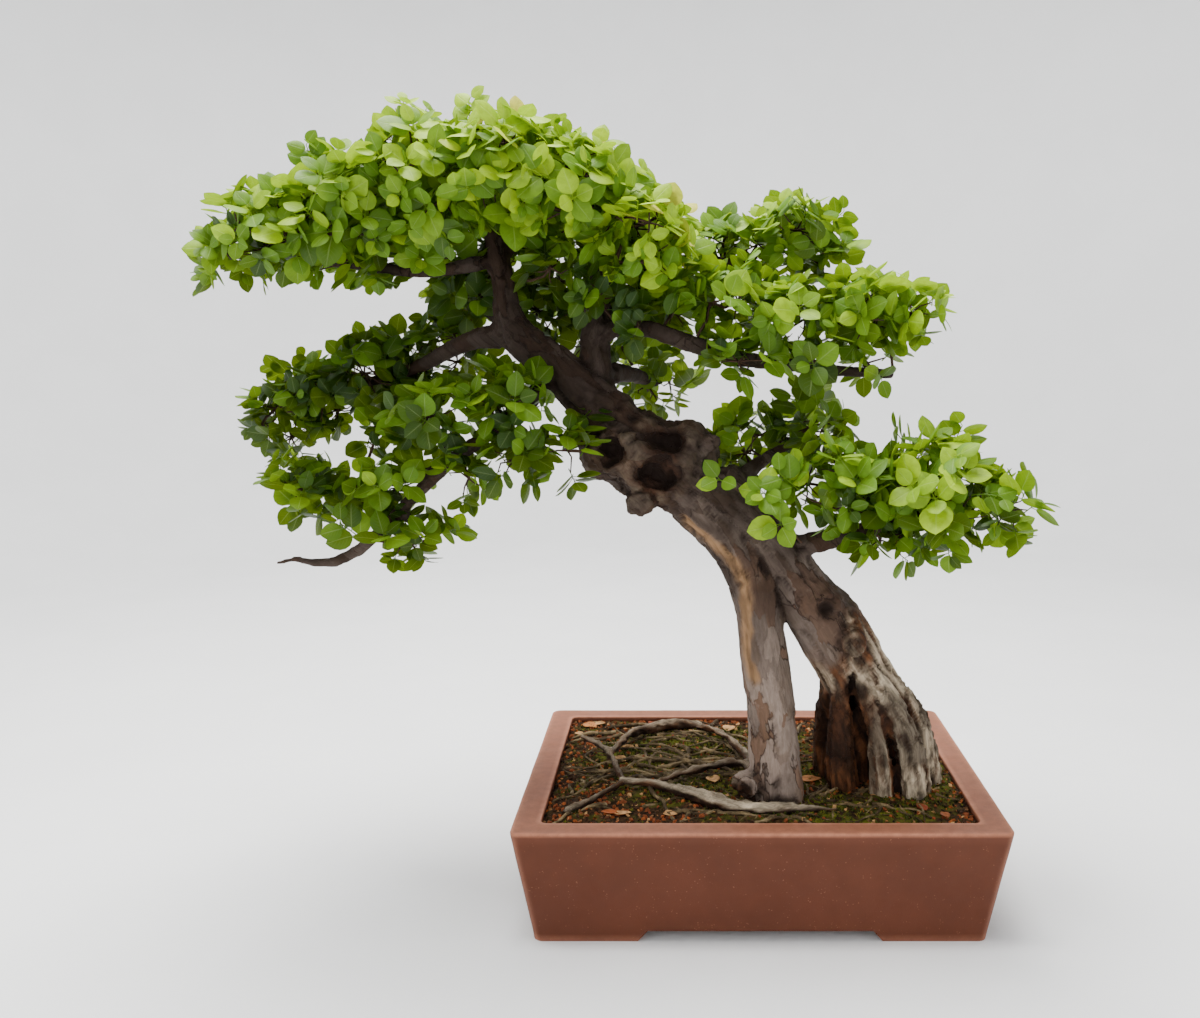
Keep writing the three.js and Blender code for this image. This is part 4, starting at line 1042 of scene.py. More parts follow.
# Other greens of the moss, beside the one in the settings
MOSS_COLOURS = [(0.150, 0.150, 0.014), (0.042, 0.052, 0.007)]
# Heights above which a vertex is on the soil's top: of the solid, and of the finished soil
SOLID_TOP, BED_TOP = 88, 85
# Rays that find the solid soil start this high, a little nearer the middle than their vertex
RAY_HEIGHT, RAY_INSET = 200, 0.995
ROOT_STEP = 5


class Ground:
    """The soil's surface as a grid of heights, in millimetres off the pot's middle."""

    def __init__(self, step):
        pot = bpy.context.scene.bonsai_pot
        self.half_x = (POT_SIZE.x / 2 - pot.rim_width) / MM - 0.5
        self.half_y = (POT_SIZE.y / 2 - pot.rim_width) / MM - 0.5
        self.xs = spaced(-self.half_x, self.half_x, int(2 * self.half_x / step) + 1)
        self.ys = spaced(-self.half_y, self.half_y, int(2 * self.half_y / step) + 1)
        tree = cad_tree("soil")
        heights = np.full((len(self.xs), len(self.ys)), np.nan)
        for i, x in enumerate(self.xs):
            for j, y in enumerate(self.ys):
                hit = tree.ray_cast(at(x * RAY_INSET, y * RAY_INSET, RAY_HEIGHT), Vector((0, 0, -1)))[0]
                z = from_pot(hit)[2] if hit else 0
                if z > SOLID_TOP:
                    heights[i, j] = z
        while np.isnan(heights).any():
            padded = np.pad(heights, 1, constant_values=np.nan)
            around = np.stack([padded[:-2, 1:-1], padded[2:, 1:-1], padded[1:-1, :-2], padded[1:-1, 2:]])
            with np.errstate(all="ignore"):
                known = np.nansum(around, axis=0) / np.maximum(1, (~np.isnan(around)).sum(axis=0))
            fill = np.isnan(heights) & (~np.isnan(around)).any(axis=0)
            heights[fill] = known[fill]
        for i, x in enumerate(self.xs):
            for j, y in enumerate(self.ys):
                lumps = 1.5 * noise.fractal(Vector((x, y, 0)) / 16, 0.8, 2.2, 4)
                edge = min(self.half_x - abs(x), self.half_y - abs(y))
                heights[i, j] += lumps - 2.5 * math.exp(-edge / 5)
        self.heights = heights

    def height(self, x, y):
        i = np.clip(np.interp(x, self.xs, range(len(self.xs))), 0, len(self.xs) - 1.001)
        j = np.clip(np.interp(y, self.ys, range(len(self.ys))), 0, len(self.ys) - 1.001)
        a, b = int(i), int(j)
        u, v = i - a, j - b
        low = self.heights[a, b] * (1 - v) + self.heights[a, b + 1] * v
        high = self.heights[a + 1, b] * (1 - v) + self.heights[a + 1, b + 1] * v
        return low * (1 - u) + high * u


def moss_share(x, y):
    patches = max(math.exp(-((x - mx) / rx) ** 2 - ((y - my) / ry) ** 2) for mx, my, rx, ry in MOSS_PATCHES)
    cloud = 0.5 + 0.5 * noise.fractal(Vector((x, y, 30)) / 24, 0.7, 2.2, 4)
    return float(smoothstep(0.25, 0.75, patches * 0.6 + cloud * 0.6))


def soil_object(ground, floor_height):
    """The soil as one closed solid: its surface, its sides down the pot and its underside."""
    count_x, count_y = ground.heights.shape
    vertices = [at(x, y, ground.heights[i, j])
                for i, x in enumerate(ground.xs) for j, y in enumerate(ground.ys)]
    faces = [(i * count_y + j, (i + 1) * count_y + j, (i + 1) * count_y + j + 1, i * count_y + j + 1)
             for i in range(count_x - 1) for j in range(count_y - 1)]
    border = [i * count_y for i in range(count_x)]
    border += [(count_x - 1) * count_y + j for j in range(1, count_y)]
    border += [i * count_y + count_y - 1 for i in range(count_x - 2, -1, -1)]
    border += [j for j in range(count_y - 2, 0, -1)]
    base = len(vertices)
    for index in border:
        top = vertices[index]
        inward = (top - at(0, 0, 0)) * 0.985
        vertices.append(Vector((POT_MIDDLE.x + inward.x, POT_MIDDLE.y + inward.y, floor_height)))
    for k, index in enumerate(border):
        after = (k + 1) % len(border)
        faces.append((border[after], index, base + k, base + after))
    faces.append(tuple(reversed(range(base, base + len(border)))))
    return mesh_object("soil_bed", vertices, faces)


def stone_shapes(rng):
    shapes = []
    for index in range(4):
        shape = bmesh.new()
        bmesh.ops.create_icosphere(shape, subdivisions=1, radius=1.25 * MM)
        for vertex in shape.verts:
            vertex.co *= 1 + 0.3 * rng.uniform(-1, 1)
            vertex.co.z *= 0.7
        shapes.append(shape_object(f"stone_{index}", shape))
    return shapes


def moss_shapes(rng):
    """Tufts of five short bent blades."""
    shapes = []
    for index in range(3):
        vertices, faces = [], []
        for _ in range(5):
            angle = rng.uniform(0, math.tau)
            out = Vector((math.cos(angle), math.sin(angle), 0))
            side = Vector((-out.y, out.x, 0)) * 0.35 * MM
            foot = out * 0.3 * MM
            knee = foot + out * 0.7 * MM + Vector((0, 0, rng.uniform(0.9, 1.7) * MM))
            tip = knee + out * rng.uniform(0.5, 1.6) * MM + Vector((0, 0, 0.5 * MM))
            base = len(vertices)
            vertices += [foot - side, foot + side, knee + side, knee - side, tip]
            faces += [(base, base + 1, base + 2, base + 3), (base + 3, base + 2, base + 4)]
        shapes.append(mesh_object(f"tuft_{index}", vertices, faces))
    return shapes


def crumb_shapes(rng):
    """Curled flakes of bark and dry leaf."""
    shapes = []
    for index in range(4):
        rim = [(1.9 * MM * rng.uniform(0.6, 1.3) * math.cos(a),
                1.2 * MM * rng.uniform(0.6, 1.3) * math.sin(a),
                0.5 * MM * rng.uniform(-1, 1)) for a in spaced(0, math.tau, 7)[:-1]]
        vertices = [(0, 0, 0.7 * MM), *rim, (0, 0, 0.1 * MM)]
        faces = [(0, 1 + i, 1 + (i + 1) % 6) for i in range(6)]
        faces += [(7, 1 + (i + 1) % 6, 1 + i) for i in range(6)]
        shapes.append(mesh_object(f"crumb_{index}", vertices, faces, smooth=False))
    return shapes


def root_routes(ground, rng):
    """Thin roots that creep over the soil, each winding a little and dipping in and out."""
    routes = []
    for x, y, half_x, half_y, count, heading, length, radius in ROOT_MATS:
        for _ in range(count):
            place = Vector((x + rng.uniform(-half_x, half_x), y + rng.uniform(-half_y, half_y)))
            angle = math.radians(heading + rng.normal(0, 28) + (180 if rng.random() < 0.5 else 0))
            steps = int(length * rng.uniform(0.5, 1.2) / ROOT_STEP)
            stout = radius * rng.uniform(0.55, 1.5)
            bend = rng.normal(0, 0.05)
            phase = rng.uniform(0, 6)
            route = []
            for step in range(steps + 1):
                if abs(place.x) > ground.half_x - 3 or abs(place.y) > ground.half_y - 3:
                    break
                share = step / steps
                lift = stout * 0.6 + 1.6 * math.sin(phase + share * 7) * math.sin(share * math.pi)
                route.append((at(place.x, place.y, ground.height(place.x, place.y) + lift),
                              stout * MM * (1.05 - 0.6 * share)))
                angle += bend + rng.normal(0, 0.16)
                place = place + ROOT_STEP * Vector((math.cos(angle), math.sin(angle)))
            if len(route) > 3:
                routes.append(route)
    return routes


def litter_object(ground, rng):
    """Curled fallen leaves, each on its place on the soil."""
    vertices, faces, tints = [], [], []
    for x, y, half_length in LITTER_PLACES:
        turn = rng.uniform(0, math.tau)
        base = len(vertices)
        long_way = Vector((math.cos(turn), math.sin(turn), 0))
        wide_way = Vector((-math.sin(turn), math.cos(turn), 0))
        tint = rng.random()
        for i in range(7):
            along = i / 6
            width = half_length * 0.62 * math.sin(math.pi * along ** 0.8) ** 0.8
            for side in (-1, -0.5, 0, 0.5, 1):
                lift = 1.4 + 2.6 * abs(side) * width / half_length + 2.5 * (along - 0.5) ** 2
                flat = Vector((x, y, 0)) + long_way * half_length * (2 * along - 1) + wide_way * width * side
                vertices.append(at(flat.x, flat.y, ground.height(flat.x, flat.y) + lift))
                tints.append(tint)
        for i in range(6):
            for k in range(4):
                a = base + i * 5 + k
                faces.append((a, a + 5, a + 6, a + 1))
    piece = mesh_object("fallen_leaves", vertices, faces)
    store(piece.data, "tint", tints)
    bulk = piece.modifiers.new("thickness", "SOLIDIFY")
    bulk.thickness = 0.35 * MM
    return finished(piece, "fallen_leaves")


class BONSAI_OT_add_soil(bpy.types.Operator):
    """Add the soil that fills the pot."""
    bl_idname = "bonsai.add_soil"
    bl_label = "Add Soil"

    def execute(self, context):
        settings = context.scene.bonsai_soil
        ground = Ground(settings.grid / MM)
        bed = soil_object(ground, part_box("soil")[0].z)
        tops = from_pot(places(bed.data))
        moss = np.array([moss_share(x, y) if z > BED_TOP else 0 for x, y, z in tops])
        above = (tops[:, 2] > BED_TOP).astype(float)
        store(bed.data, "moss", moss)
        store(bed.data, "grit", np.clip(1 - 0.85 * moss, 0, 1) * above)
        inner = above * (np.abs(tops[:, 0]) < ground.half_x - 4) * (np.abs(tops[:, 1]) < ground.half_y - 4)
        store(bed.data, "tufts", moss * inner)
        store(bed.data, "crumbs", inner)
        settle(bed, "soil", "soil", material=soil_material(settings))
        return {"FINISHED"}


class BONSAI_OT_add_ground_cover(bpy.types.Operator):
    """Add the grit, the moss and the crumbs that lie on the soil."""
    bl_idname = "bonsai.add_ground_cover"
    bl_label = "Add Ground Cover"

    def execute(self, context):
        settings = context.scene.bonsai_soil
        rng = np.random.default_rng(SEED)
        moss = [settings.moss, *MOSS_COLOURS]
        kinds = [
            ("grit", stone_shapes(rng), tinted_material("grit", 0.85, EARTH_COLOURS),
             {"Where": "grit", "Spacing": settings.grit, "Smallest": 0.6, "Largest": 2.3}),
            ("moss_tufts", moss_shapes(rng), tinted_material("moss", 0.85, moss),
             {"Where": "tufts", "Spacing": 0.0024, "Smallest": 0.7, "Largest": 1.5, "Tumbled": 0.08}),
            ("crumbs", crumb_shapes(rng), tinted_material("crumbs", 0.7, RUST_COLOURS),
             {"Where": "crumbs", "Spacing": 0.0075, "Smallest": 0.5, "Largest": 1.8, "Tumbled": 0.3}),
        ]
        for name, shapes, material, spread in kinds:
            masters = kept_aside(name, shapes)
            settle(scatter(bpy.data.objects["soil_bed"], name, masters, spread, material), "soil")
            clear_aside(masters)
        return {"FINISHED"}


class BONSAI_OT_add_thin_roots(bpy.types.Operator):
    """Add the thin roots that creep over the soil."""
    bl_idname = "bonsai.add_thin_roots"
    bl_label = "Add Thin Roots"

    def execute(self, context):
        ground = Ground(context.scene.bonsai_soil.grid / MM)
        routes = root_routes(ground, np.random.default_rng(SEED + 1))
        roots = grow(bare_curves("roots", routes), tube_tree(), {
            "Material": tinted_material("dry_roots", 0.8, ROOT_COLOURS, 260)}, "thin_roots")
        store(roots.data, "tint", 0.5 + 0.8 * clouds(from_pot(places(roots.data)), 16))
        settle(roots, "bark")
        return {"FINISHED"}


class BONSAI_OT_add_fallen_leaves(bpy.types.Operator):
    """Add the dry leaves that lie on the soil."""
    bl_idname = "bonsai.add_fallen_leaves"
    bl_label = "Add Fallen Leaves"

    def execute(self, context):
        ground = Ground(context.scene.bonsai_soil.grid / MM)
        litter = litter_object(ground, np.random.default_rng(SEED + 2))
        settle(litter, "soil", material=tinted_material("dry_leaf", 0.6, RUST_COLOURS, 180))
        return {"FINISHED"}


# Wood

# Heights: top of the surface roots and just over them, of the leg's rot and its rise to the outside,
# of the underbark strip, and those above which hollows have lips and belong to the burl
ROOT_TOP, ABOVE_ROOTS = 122, 125
LEG_ROT_TOP, LEG_ROT_RISE = 208, 46
STRIP_TOP = 356
LIPS_FROM, BURL_FROM = 250, 340


def line_frames(lines):
    """Segments of the middle lines: start, end, radii, length so far and the line's number."""
    rows = []
    for number, line in enumerate(lines):
        far = 0
        for a, b in zip(line, line[1:]):
            length = math.dist(a[:3], b[:3])
            rows.append((*a[:3], *b[:3], a[3], b[3], far, length, number))
            far += length
    return np.array(rows)


def nearest_on_lines(points, lines):
    """For each point: the line it belongs to, how far along, and its offset in the line's own frame."""
    rows = line_frames(lines)
    start, end = rows[:, 0:3], rows[:, 3:6]
    way = end - start
    share = np.einsum("psk,sk->ps", points[:, None] - start, way) / (way ** 2).sum(axis=1)
    share = np.clip(share, 0, 1)
    middle = start + share[..., None] * way
    offset = points[:, None] - middle
    distance = np.linalg.norm(offset, axis=2)
    radius = rows[:, 6] * (1 - share) + rows[:, 7] * share
    best = np.argmin(distance - radius, axis=1)
    row = np.arange(len(points))
    along = rows[best, 8] + share[row, best] * rows[best, 9]
    direction = way[best] / rows[best, 9][:, None]
    side = np.cross(direction, (0, 1, 0))
    side /= np.maximum(1e-6, np.linalg.norm(side, axis=1))[:, None]
    across = np.cross(side, direction)
    offset = offset[row, best]
    place = np.stack([(offset * side).sum(axis=1), (offset * across).sum(axis=1), along], axis=1)
    return rows[best, 10].astype(int), place, (distance - radius)[row, best]


def smoothed(points, pairs, rounds):
    """Each point moved to the middle of its neighbours, several times over."""
    for _ in range(rounds):
        total = np.zeros_like(points)
        np.add.at(total, pairs[:, 0], points[pairs[:, 1]])
        np.add.at(total, pairs[:, 1], points[pairs[:, 0]])
        count = np.bincount(pairs.ravel(), minlength=len(points))
        points = total / np.maximum(1, count)[:, None]
    return points


def bark_plates(places_on_line, width):
    """Depth of the cracks between flaking plates, and each plate's own number from 0 to 1."""
    cracks, tones = [], []
    for place in places_on_line:
        bend = bent_at(Vector(place) / (1.7 * width)) * 0.55
        spot = Vector((place[0] / width, place[1] / width, place[2] / (2.6 * width))) + bend
        near, centres = noise.voronoi(spot)
        cracks.append(near[1] - near[0])
        tones.append(noise.cell(centres[0] * 7.3 + Vector((0.5, 0.5, 0.5))))
    return np.array(cracks), np.array(tones)


def bent_at(place):
    """Soft noise in each direction, the same in every run: the noise module's own vector isn't."""
    return Vector([noise.noise(place + Vector(apart)) for apart in ((9, -2, -8), (0, 0, 0), (-6, 5, 3))])


def distance_to_route(points, route):
    """Least distance from each point to a line through a few places."""
    best = np.full(len(points), np.inf)
    for a, b in zip(np.array(route)[:-1], np.array(route)[1:]):
        way = b - a
        share = np.clip((points - a) @ way / (way @ way), 0, 1)
        best = np.minimum(best, np.linalg.norm(points - (a + share[:, None] * way), axis=1))
    return best


class Wood:
    """The wood's surface: for each vertex, the measures that its carving and its colours share."""

    def __init__(self, mesh, settings):
        self.mesh, self.settings = mesh, settings
        self.pairs = edges(mesh)
        self.outward = normals(mesh)
        self.points = smoothed(from_pot(places(mesh)), self.pairs, 3)
        self.height = self.points[:, 2]
        self.line, self.place, beyond = nearest_on_lines(self.points, LIVING_LINES + ROOT_LINES)
        self.thick = smoothstep(9, 2, beyond)
        self.roots = (self.line >= len(LIVING_LINES)) & (self.height < ROOT_TOP)
        self.coarse = clouds(self.place * (1, 1, 0.5), 24)
        self.fine = clouds(self.place * (1, 1, 0.35), 6)
        self.wavy = clouds(self.place * (1, 1, 0.12), 9, 4)
        self.lumps = clouds(self.points, 11, 4)
        self.folds = clouds(self.points * (1, 1, 1.6) + 40, 26, 2)
        self.grooves = smoothstep(0.30, 0.0, np.abs(self.wavy))
        self.narrow = smoothstep(0.3, 0.0, np.abs(clouds(self.place * (1, 1, 0.1), 4.5)))
        self.dead = self.dead_share()
        self.living = 1 - self.dead
        self.measure_bark()
        self.measure_burl()
        self.measure_knots()
        self.measure_hollows()

    def distance(self, place, stretch=(1, 1, 1)):
        return np.linalg.norm((self.points - place) * stretch, axis=1)

    def dead_share(self):
        """Where no bark lives: the lower part of the second leg, its inside and the surface roots."""
        ragged = 12 * clouds(self.points, 30)
        rot_top = LEG_ROT_TOP + LEG_ROT_RISE * smoothstep(62, 80, self.points[:, 0])
        on_leg = self.line == LIVING_LINES.index(LEG)
        dead = np.where(on_leg, smoothstep(14, -12, self.height + ragged - rot_top), 0)
        dead = np.maximum(dead, self.roots)
        inside = (self.points[:, 0] > 50) & (self.height < 215)
        return np.maximum(dead, inside * smoothstep(222, 200, self.height + ragged))

    def measure_bark(self):
        """Cracks between plates, each plate's tone, winding grooves and the strip of underbark."""
        gaps, self.tones = bark_plates(self.place, self.settings.plate_width / MM)
        self.crack = smoothstep(0.13, 0.0, gaps) * smoothstep(-0.25, 0.45, clouds(self.points, 26))
        self.upper = smoothstep(225, 300, self.height)
        self.winding = smoothstep(0.22, 0.0, np.abs(clouds(self.place * (1, 1, 0.3) + 9, 20))) * self.upper
        route = np.array(UNDERBARK_STRIP) * (1, 0, 1)
        strip = distance_to_route(self.points * (1, 0, 1), route) + 2.5 * self.fine + 2.2 * self.coarse
        front = (self.outward[:, 1] < 0.1) & (self.height < STRIP_TOP)
        self.underbark = smoothstep(5.6, 4.2, strip) * self.living * front

    def measure_burl(self):
        """How knobbly the wood is, which is only round the burl, and the furrows that wind over it."""
        *middle, radius = BURL
        self.knobbly = smoothstep(radius * 1.15, radius * 0.7, self.distance(middle))
        winding = np.abs(clouds(self.points * (0.7, 1, 1.3) + 70, 19))
        self.furrows = smoothstep(0.24, 0.0, winding) * self.knobbly

    def measure_knots(self):
        """Height of the rings of callus round the knots, and where the dips between rings are."""
        self.rings, self.dips = np.zeros(len(self.points)), np.zeros(len(self.points))
        for *middle, radius in KNOTS:
            off = self.distance(middle)
            near = smoothstep(radius * 1.35, radius * 0.7, off)
            waves = np.cos(off / radius * 9)
            self.rings += near * (1.5 * waves + 0.5 * self.lumps)
            self.dips = np.maximum(self.dips, near * smoothstep(0.3, -0.7, waves))

    def measure_hollows(self):
        """Height of the hollows' lips less their depth, and how far inside a hollow a vertex is."""
        self.sunk, self.hollow = np.zeros(len(self.points)), np.zeros(len(self.points))
        for x, y, z, radius in HOLLOWS:
            off = self.distance((x, y, z), (1, 0.7, 1)) / radius
            self.hollow = np.maximum(self.hollow, smoothstep(1.15, 0.7, off + 0.12 * self.lumps))
            self.sunk += 2.4 * np.exp(-((off - 1.3) / 0.2) ** 2) * (z > LIPS_FROM)
            self.sunk -= 6 * smoothstep(1, 0.4, off) * (z > BURL_FROM)

    def carve(self):
        """Moves each vertex along its normal, by a depth in millimetres."""
        skin = self.coarse * (1.1 + 0.9 * self.upper) + self.fine * 0.5 + (self.tones - 0.5) * 0.9
        cracks = self.crack * self.settings.plate_depth / MM * (1 - self.underbark)
        groove_depth = np.where(self.roots, 0.7, self.settings.groove_depth / MM)
        depth = self.living * self.thick * (skin - cracks - 2.2 * self.winding) - self.underbark * 1.3
        depth += self.dead * (self.coarse * 1.4 - self.grooves * groove_depth - 0.5 * self.narrow)
        depth += (1 - self.thick) * (self.fine * 0.5 + self.lumps * 0.35)
        depth += self.roots * (self.fine * 0.9 + self.lumps * 1.2 - 0.8)
        depth += self.knobbly * (self.lumps * 1.5 + self.folds * 3.0) - 2.6 * self.furrows
        self.carved = self.points + self.outward * (depth + self.rings + self.sunk)[:, None]
        move_to(self.mesh, all_at(self.carved))
        self.normals = normals(self.mesh)

    def stands_out(self, rounds):
        """How far each carved vertex stands out from what is round it, near or wide by the rounds."""
        return ((self.carved - smoothed(self.carved, self.pairs, rounds)) * self.normals).sum(axis=1)

    def shade(self):
        """Where the bark is dark: painted shade in dips, hollows, knot rings, folds, furrows, grooves, the
        crown's wood, the twiggy wood and the roots' undersides, with the cracks' own dark.
        """
        bare = 1 - self.underbark
        upward = self.normals[:, 2] + 0.5 * self.wavy
        # Painted shade that deepens up the living trunk, under the crown
        dusk = smoothstep(165, 300, self.height) * (0.58 + 0.24 * smoothstep(-0.4, 0.5, self.coarse))
        return np.maximum.reduce([
            smoothstep(-0.1, -1.1, self.stands_out(14)),
            0.3 * self.crack * self.living * self.thick * (1 - 0.7 * self.underbark),
            0.9 * self.hollow,
            0.7 * self.dips,
            0.85 * self.knobbly * smoothstep(0.7, -0.4, self.folds + 0.5 * self.lumps),
            self.furrows * bare,
            0.8 * self.winding * self.living * bare,
            # Painted shade on the wood in and under the crown, which is also darker bark
            0.86 * smoothstep(385, 430, self.height + 8 * self.lumps),
            self.living * (1 - 0.8 * self.underbark) * dusk,
            # Painted shade on the thin wood above the roots
            0.75 * (1 - self.thick) * (self.height > ABOVE_ROOTS),
            0.8 * self.dead * self.grooves * ~self.roots,
            # Painted shade on the roots' undersides
            0.85 * self.roots * smoothstep(0.5, -0.2, upward),
            0.75 * self.roots * np.maximum(self.narrow, self.grooves),
        ])

    def colour(self):
        """Stores the shares that the bark's material reads."""
        ridge = self.stands_out(45)
        crest = self.knobbly * smoothstep(0.6, 1.8, ridge) * (1 - self.hollow)
        weathered = smoothstep(88, 108, self.points[:, 0] + 7 * self.coarse)
        # Bleached wood with a painted highlight: the rounded top of the rot on the leg made pale
        bleached_lit_brow = smoothstep(176, 204, self.height + 12 * self.coarse) * (self.line == LIVING_LINES.index(LEG))
        pale_root = np.where(self.line == len(LIVING_LINES), 1.0, 0.65) * self.roots
        upward = self.normals[:, 2] + 0.5 * self.wavy + 0.3 * self.coarse
        bleach = np.maximum.reduce([
            smoothstep(0.35, 1.1, ridge + 0.8 * self.wavy + 0.3 * self.coarse) * weathered,
            0.7 * bleached_lit_brow * smoothstep(-0.3, 0.5, self.wavy),
            pale_root * smoothstep(0.3, 0.85, upward),
            0.45 * crest,
        ])
        dead = np.maximum.reduce([
            self.dead,
            0.9 * self.hollow * (self.height > BURL_FROM),
            0.85 * self.knobbly * smoothstep(-0.3, 0.4, self.lumps + self.folds),
            0.8 * crest,
        ])
        browned = self.tones * 0.75 + 0.35 * smoothstep(-0.5, 0.6, self.coarse)
        layers = {"dead": dead, "bleach": bleach, "shade": self.shade(), "underbark": self.underbark}
        store(self.mesh, "grain_place", self.place * MM)
        store(self.mesh, "plate", np.clip(browned, 0, 1))
        for name, layer in layers.items():
            store(self.mesh, name, np.clip(smoothed(layer[:, None], self.pairs, 1)[:, 0], 0, 1))


class BONSAI_OT_add_wood(bpy.types.Operator):
    """Add the tree's wood: bark plates, burl, knots, deadwood and surface roots."""
    bl_idname = "bonsai.add_wood"
    bl_label = "Add Wood"

    def execute(self, context):
        settings = context.scene.bonsai_wood
        raw = cad_copy("tree_wood", "wood_raw")
        grid = raw.modifiers.new("grid", "REMESH")
        grid.mode = "VOXEL"
        grid.voxel_size = settings.grid
        piece = finished(raw, "tree")
        piece.data.shade_smooth()
        wood = Wood(piece.data, settings)
        wood.carve()
        wood.colour()
        settle(piece, "bark", "tree_wood", material=bark_material(settings))
        return {"FINISHED"}


# Leaves and twigs

# Leaf outline: share of the length from the foot, and of the half width from the rib
BLADE_OUTLINE = [(0.0, 0.0), (0.06, 0.44), (0.18, 0.82), (0.36, 1.0), (0.56, 0.98), (0.75, 0.76), (0.9, 0.37),
                 (1.0, 0.0)]
BLADE_SIDES = (-1.0, -0.52, 0.0, 0.52, 1.0)


class ShootShape:
    """Collects the blades and stalks of one shoot, in metres, with its foot at the origin."""

    def __init__(self):
        self.vertices, self.faces, self.blade_places, self.tints = [], [], [], []

    def add(self, points, faces, blade_places, tint):
        base = len(self.vertices)
        self.vertices += points
        self.faces += [tuple(base + i for i in face) for face in faces]
        self.blade_places += blade_places
        self.tints += [tint] * len(points)

    def blade(self, foot, heading, face, length, width, tint, fold, droop):
        """An ovate leaf: round foot, short point, folded along the rib, and bent down to the tip."""
        across = heading.cross(face).normalized()
        points, marks = [], []
        for up, breadth in BLADE_OUTLINE:
            half = breadth * width / 2
            for side in BLADE_SIDES if half else (0.0,):
                lift = fold * abs(side) * half - droop * length * up * up - 0.35 * half * side * side
                points.append(foot + heading * up * length + across * side * half + face * lift)
                marks.append((side, up, 0.0))
        sides, rows = len(BLADE_SIDES), len(BLADE_OUTLINE) - 2
        faces = [(0, 2 + k, 1 + k) for k in range(sides - 1)]
        for row in range(rows - 1):
            low = 1 + row * sides
            faces += [(low + k, low + k + 1, low + sides + k + 1, low + sides + k) for k in range(sides - 1)]
        low, tip = 1 + (rows - 1) * sides, 1 + rows * sides
        faces += [(low + k, low + k + 1, tip) for k in range(sides - 1)]
        self.add(points, faces, marks, tint)

    def stalk(self, foot, tip, radius):
        way = (tip - foot).normalized()
        side = way.orthogonal().normalized()
        across = way.cross(side)
        ring = [side * math.cos(a) + across * math.sin(a) for a in (0, math.tau / 3, 2 * math.tau / 3)]
        points = [foot + r * radius for r in ring] + [tip + r * radius * 0.7 for r in ring]
        faces = [(i, (i + 1) % 3, 3 + (i + 1) % 3, 3 + i) for i in range(3)]
        self.add(points, faces, [(0.5, 0.2, 0.0)] * 6, 0.5)

    def made(self, name):
        piece = mesh_object(name, self.vertices, self.faces)
        store(piece.data, "leaf_place", np.array(self.blade_places))
        store(piece.data, "leaf_tint", self.tints)
        return piece


def rosette_shoot(name, leaves, rng, settings):
    """Leaves round the tip of a short shoot, the upper ones younger, smaller and steeper."""
    shoot = ShootShape()
    top = 0.009
    shoot.stalk(Vector((0, 0, -0.004)), Vector((0, 0, top)), SHOOT_RADIUS)
    for index in range(leaves):
        age = 1 - index / leaves
        turn = index * 2.4 + rng.uniform(-0.35, 0.35)
        rise = math.radians(rng.uniform(2, 24) + (1 - age) * 38)
        out = Vector((math.cos(turn), math.sin(turn), 0))
        heading = (out * math.cos(rise) + Vector((0, 0, math.sin(rise)))).normalized()
        face = (Vector((0, 0, math.cos(rise))) - out * math.sin(rise)).normalized()
        face = (face + heading.cross(face) * rng.uniform(-0.35, 0.35)).normalized()
        size = (0.58 + 0.42 * age) * rng.uniform(0.85, 1.15)
        level = top * (0.35 + 0.65 * (1 - age))
        foot = Vector((0, 0, level)) + heading * 0.0035
        shoot.stalk(Vector((0, 0, level)), foot, STALK_RADIUS)
        shoot.blade(foot, heading, face, settings.blade_length * size,
                    settings.blade_width * size * rng.uniform(0.9, 1.12), rng.random(),
                    rng.uniform(0.1, 0.5), rng.uniform(0.02, 0.2))
    return shoot.made(name)


def spray_shoot(name, leaves, rng, settings):
    """Leaves in two rows along a bent shoot, their faces turned up."""
    shoot = ShootShape()
    spots = [Vector((0.0015 * i * i / leaves, 0, 0.0052 * i)) for i in range(leaves + 1)]
    for low, high in zip(spots, spots[1:]):
        shoot.stalk(low, high, SHOOT_RADIUS)
    for index in range(leaves):
        side = 1 if index % 2 else -1
        age = 1 - index / leaves
        out = Vector((0.35, side * 0.8, 0.55)).normalized()
        face = Vector((-0.75, -side * 0.15, 0.6))
        face = (face - out * face.dot(out)).normalized()
        face = (face + out.cross(face) * rng.uniform(-0.3, 0.3)).normalized()
        size = (0.6 + 0.4 * age) * rng.uniform(0.85, 1.12)
        foot = spots[index + 1] + out * 0.003
        shoot.stalk(spots[index + 1], foot, STALK_RADIUS)
        shoot.blade(foot, out, face, settings.blade_length * size, settings.blade_width * size,
                    rng.random(), rng.uniform(0.1, 0.45), rng.uniform(0.02, 0.2))
    return shoot.made(name)


# Layers of shoots in a head: how far below the leaf tips they start, and how thinly they stand
LAYERS = [(18, 1.0), (29, 1.0), (41, 1.15)]
# Least distance from a shoot's foot to each side of the solid model's box, and to the wood
LEAF_REACH = np.array((18, 30, 18))
WOOD_GAP = 7
TRIES_PER_SHOOT = 9
HEAD_LUMPINESS = 0.16
# How much shoots differ in facing, and how much they turn up on a head and on its underside
FACING_SPREAD = 0.38
TURN_UP, TURN_UP_UNDER = 0.55, 0.35
SHOOT_RADIUS, STALK_RADIUS = 0.0006, 0.00045


def ellipsoid_area(a, b, c):
    """Surface of an ellipsoid with these half sizes, close enough to count shoots by."""
    power = 1.6
    terms = (a * b) ** power + (a * c) ** power + (b * c) ** power
    return 4 * math.pi * terms ** (1 / power) / 3 ** (1 / power)


def in_another(spot, number, shells):
    """Whether a place on one clump lies inside another clump of the same head."""
    return any(other != number and (((spot - middle) / radii) ** 2).sum() < 0.8
               for other, (middle, radii) in enumerate(shells))


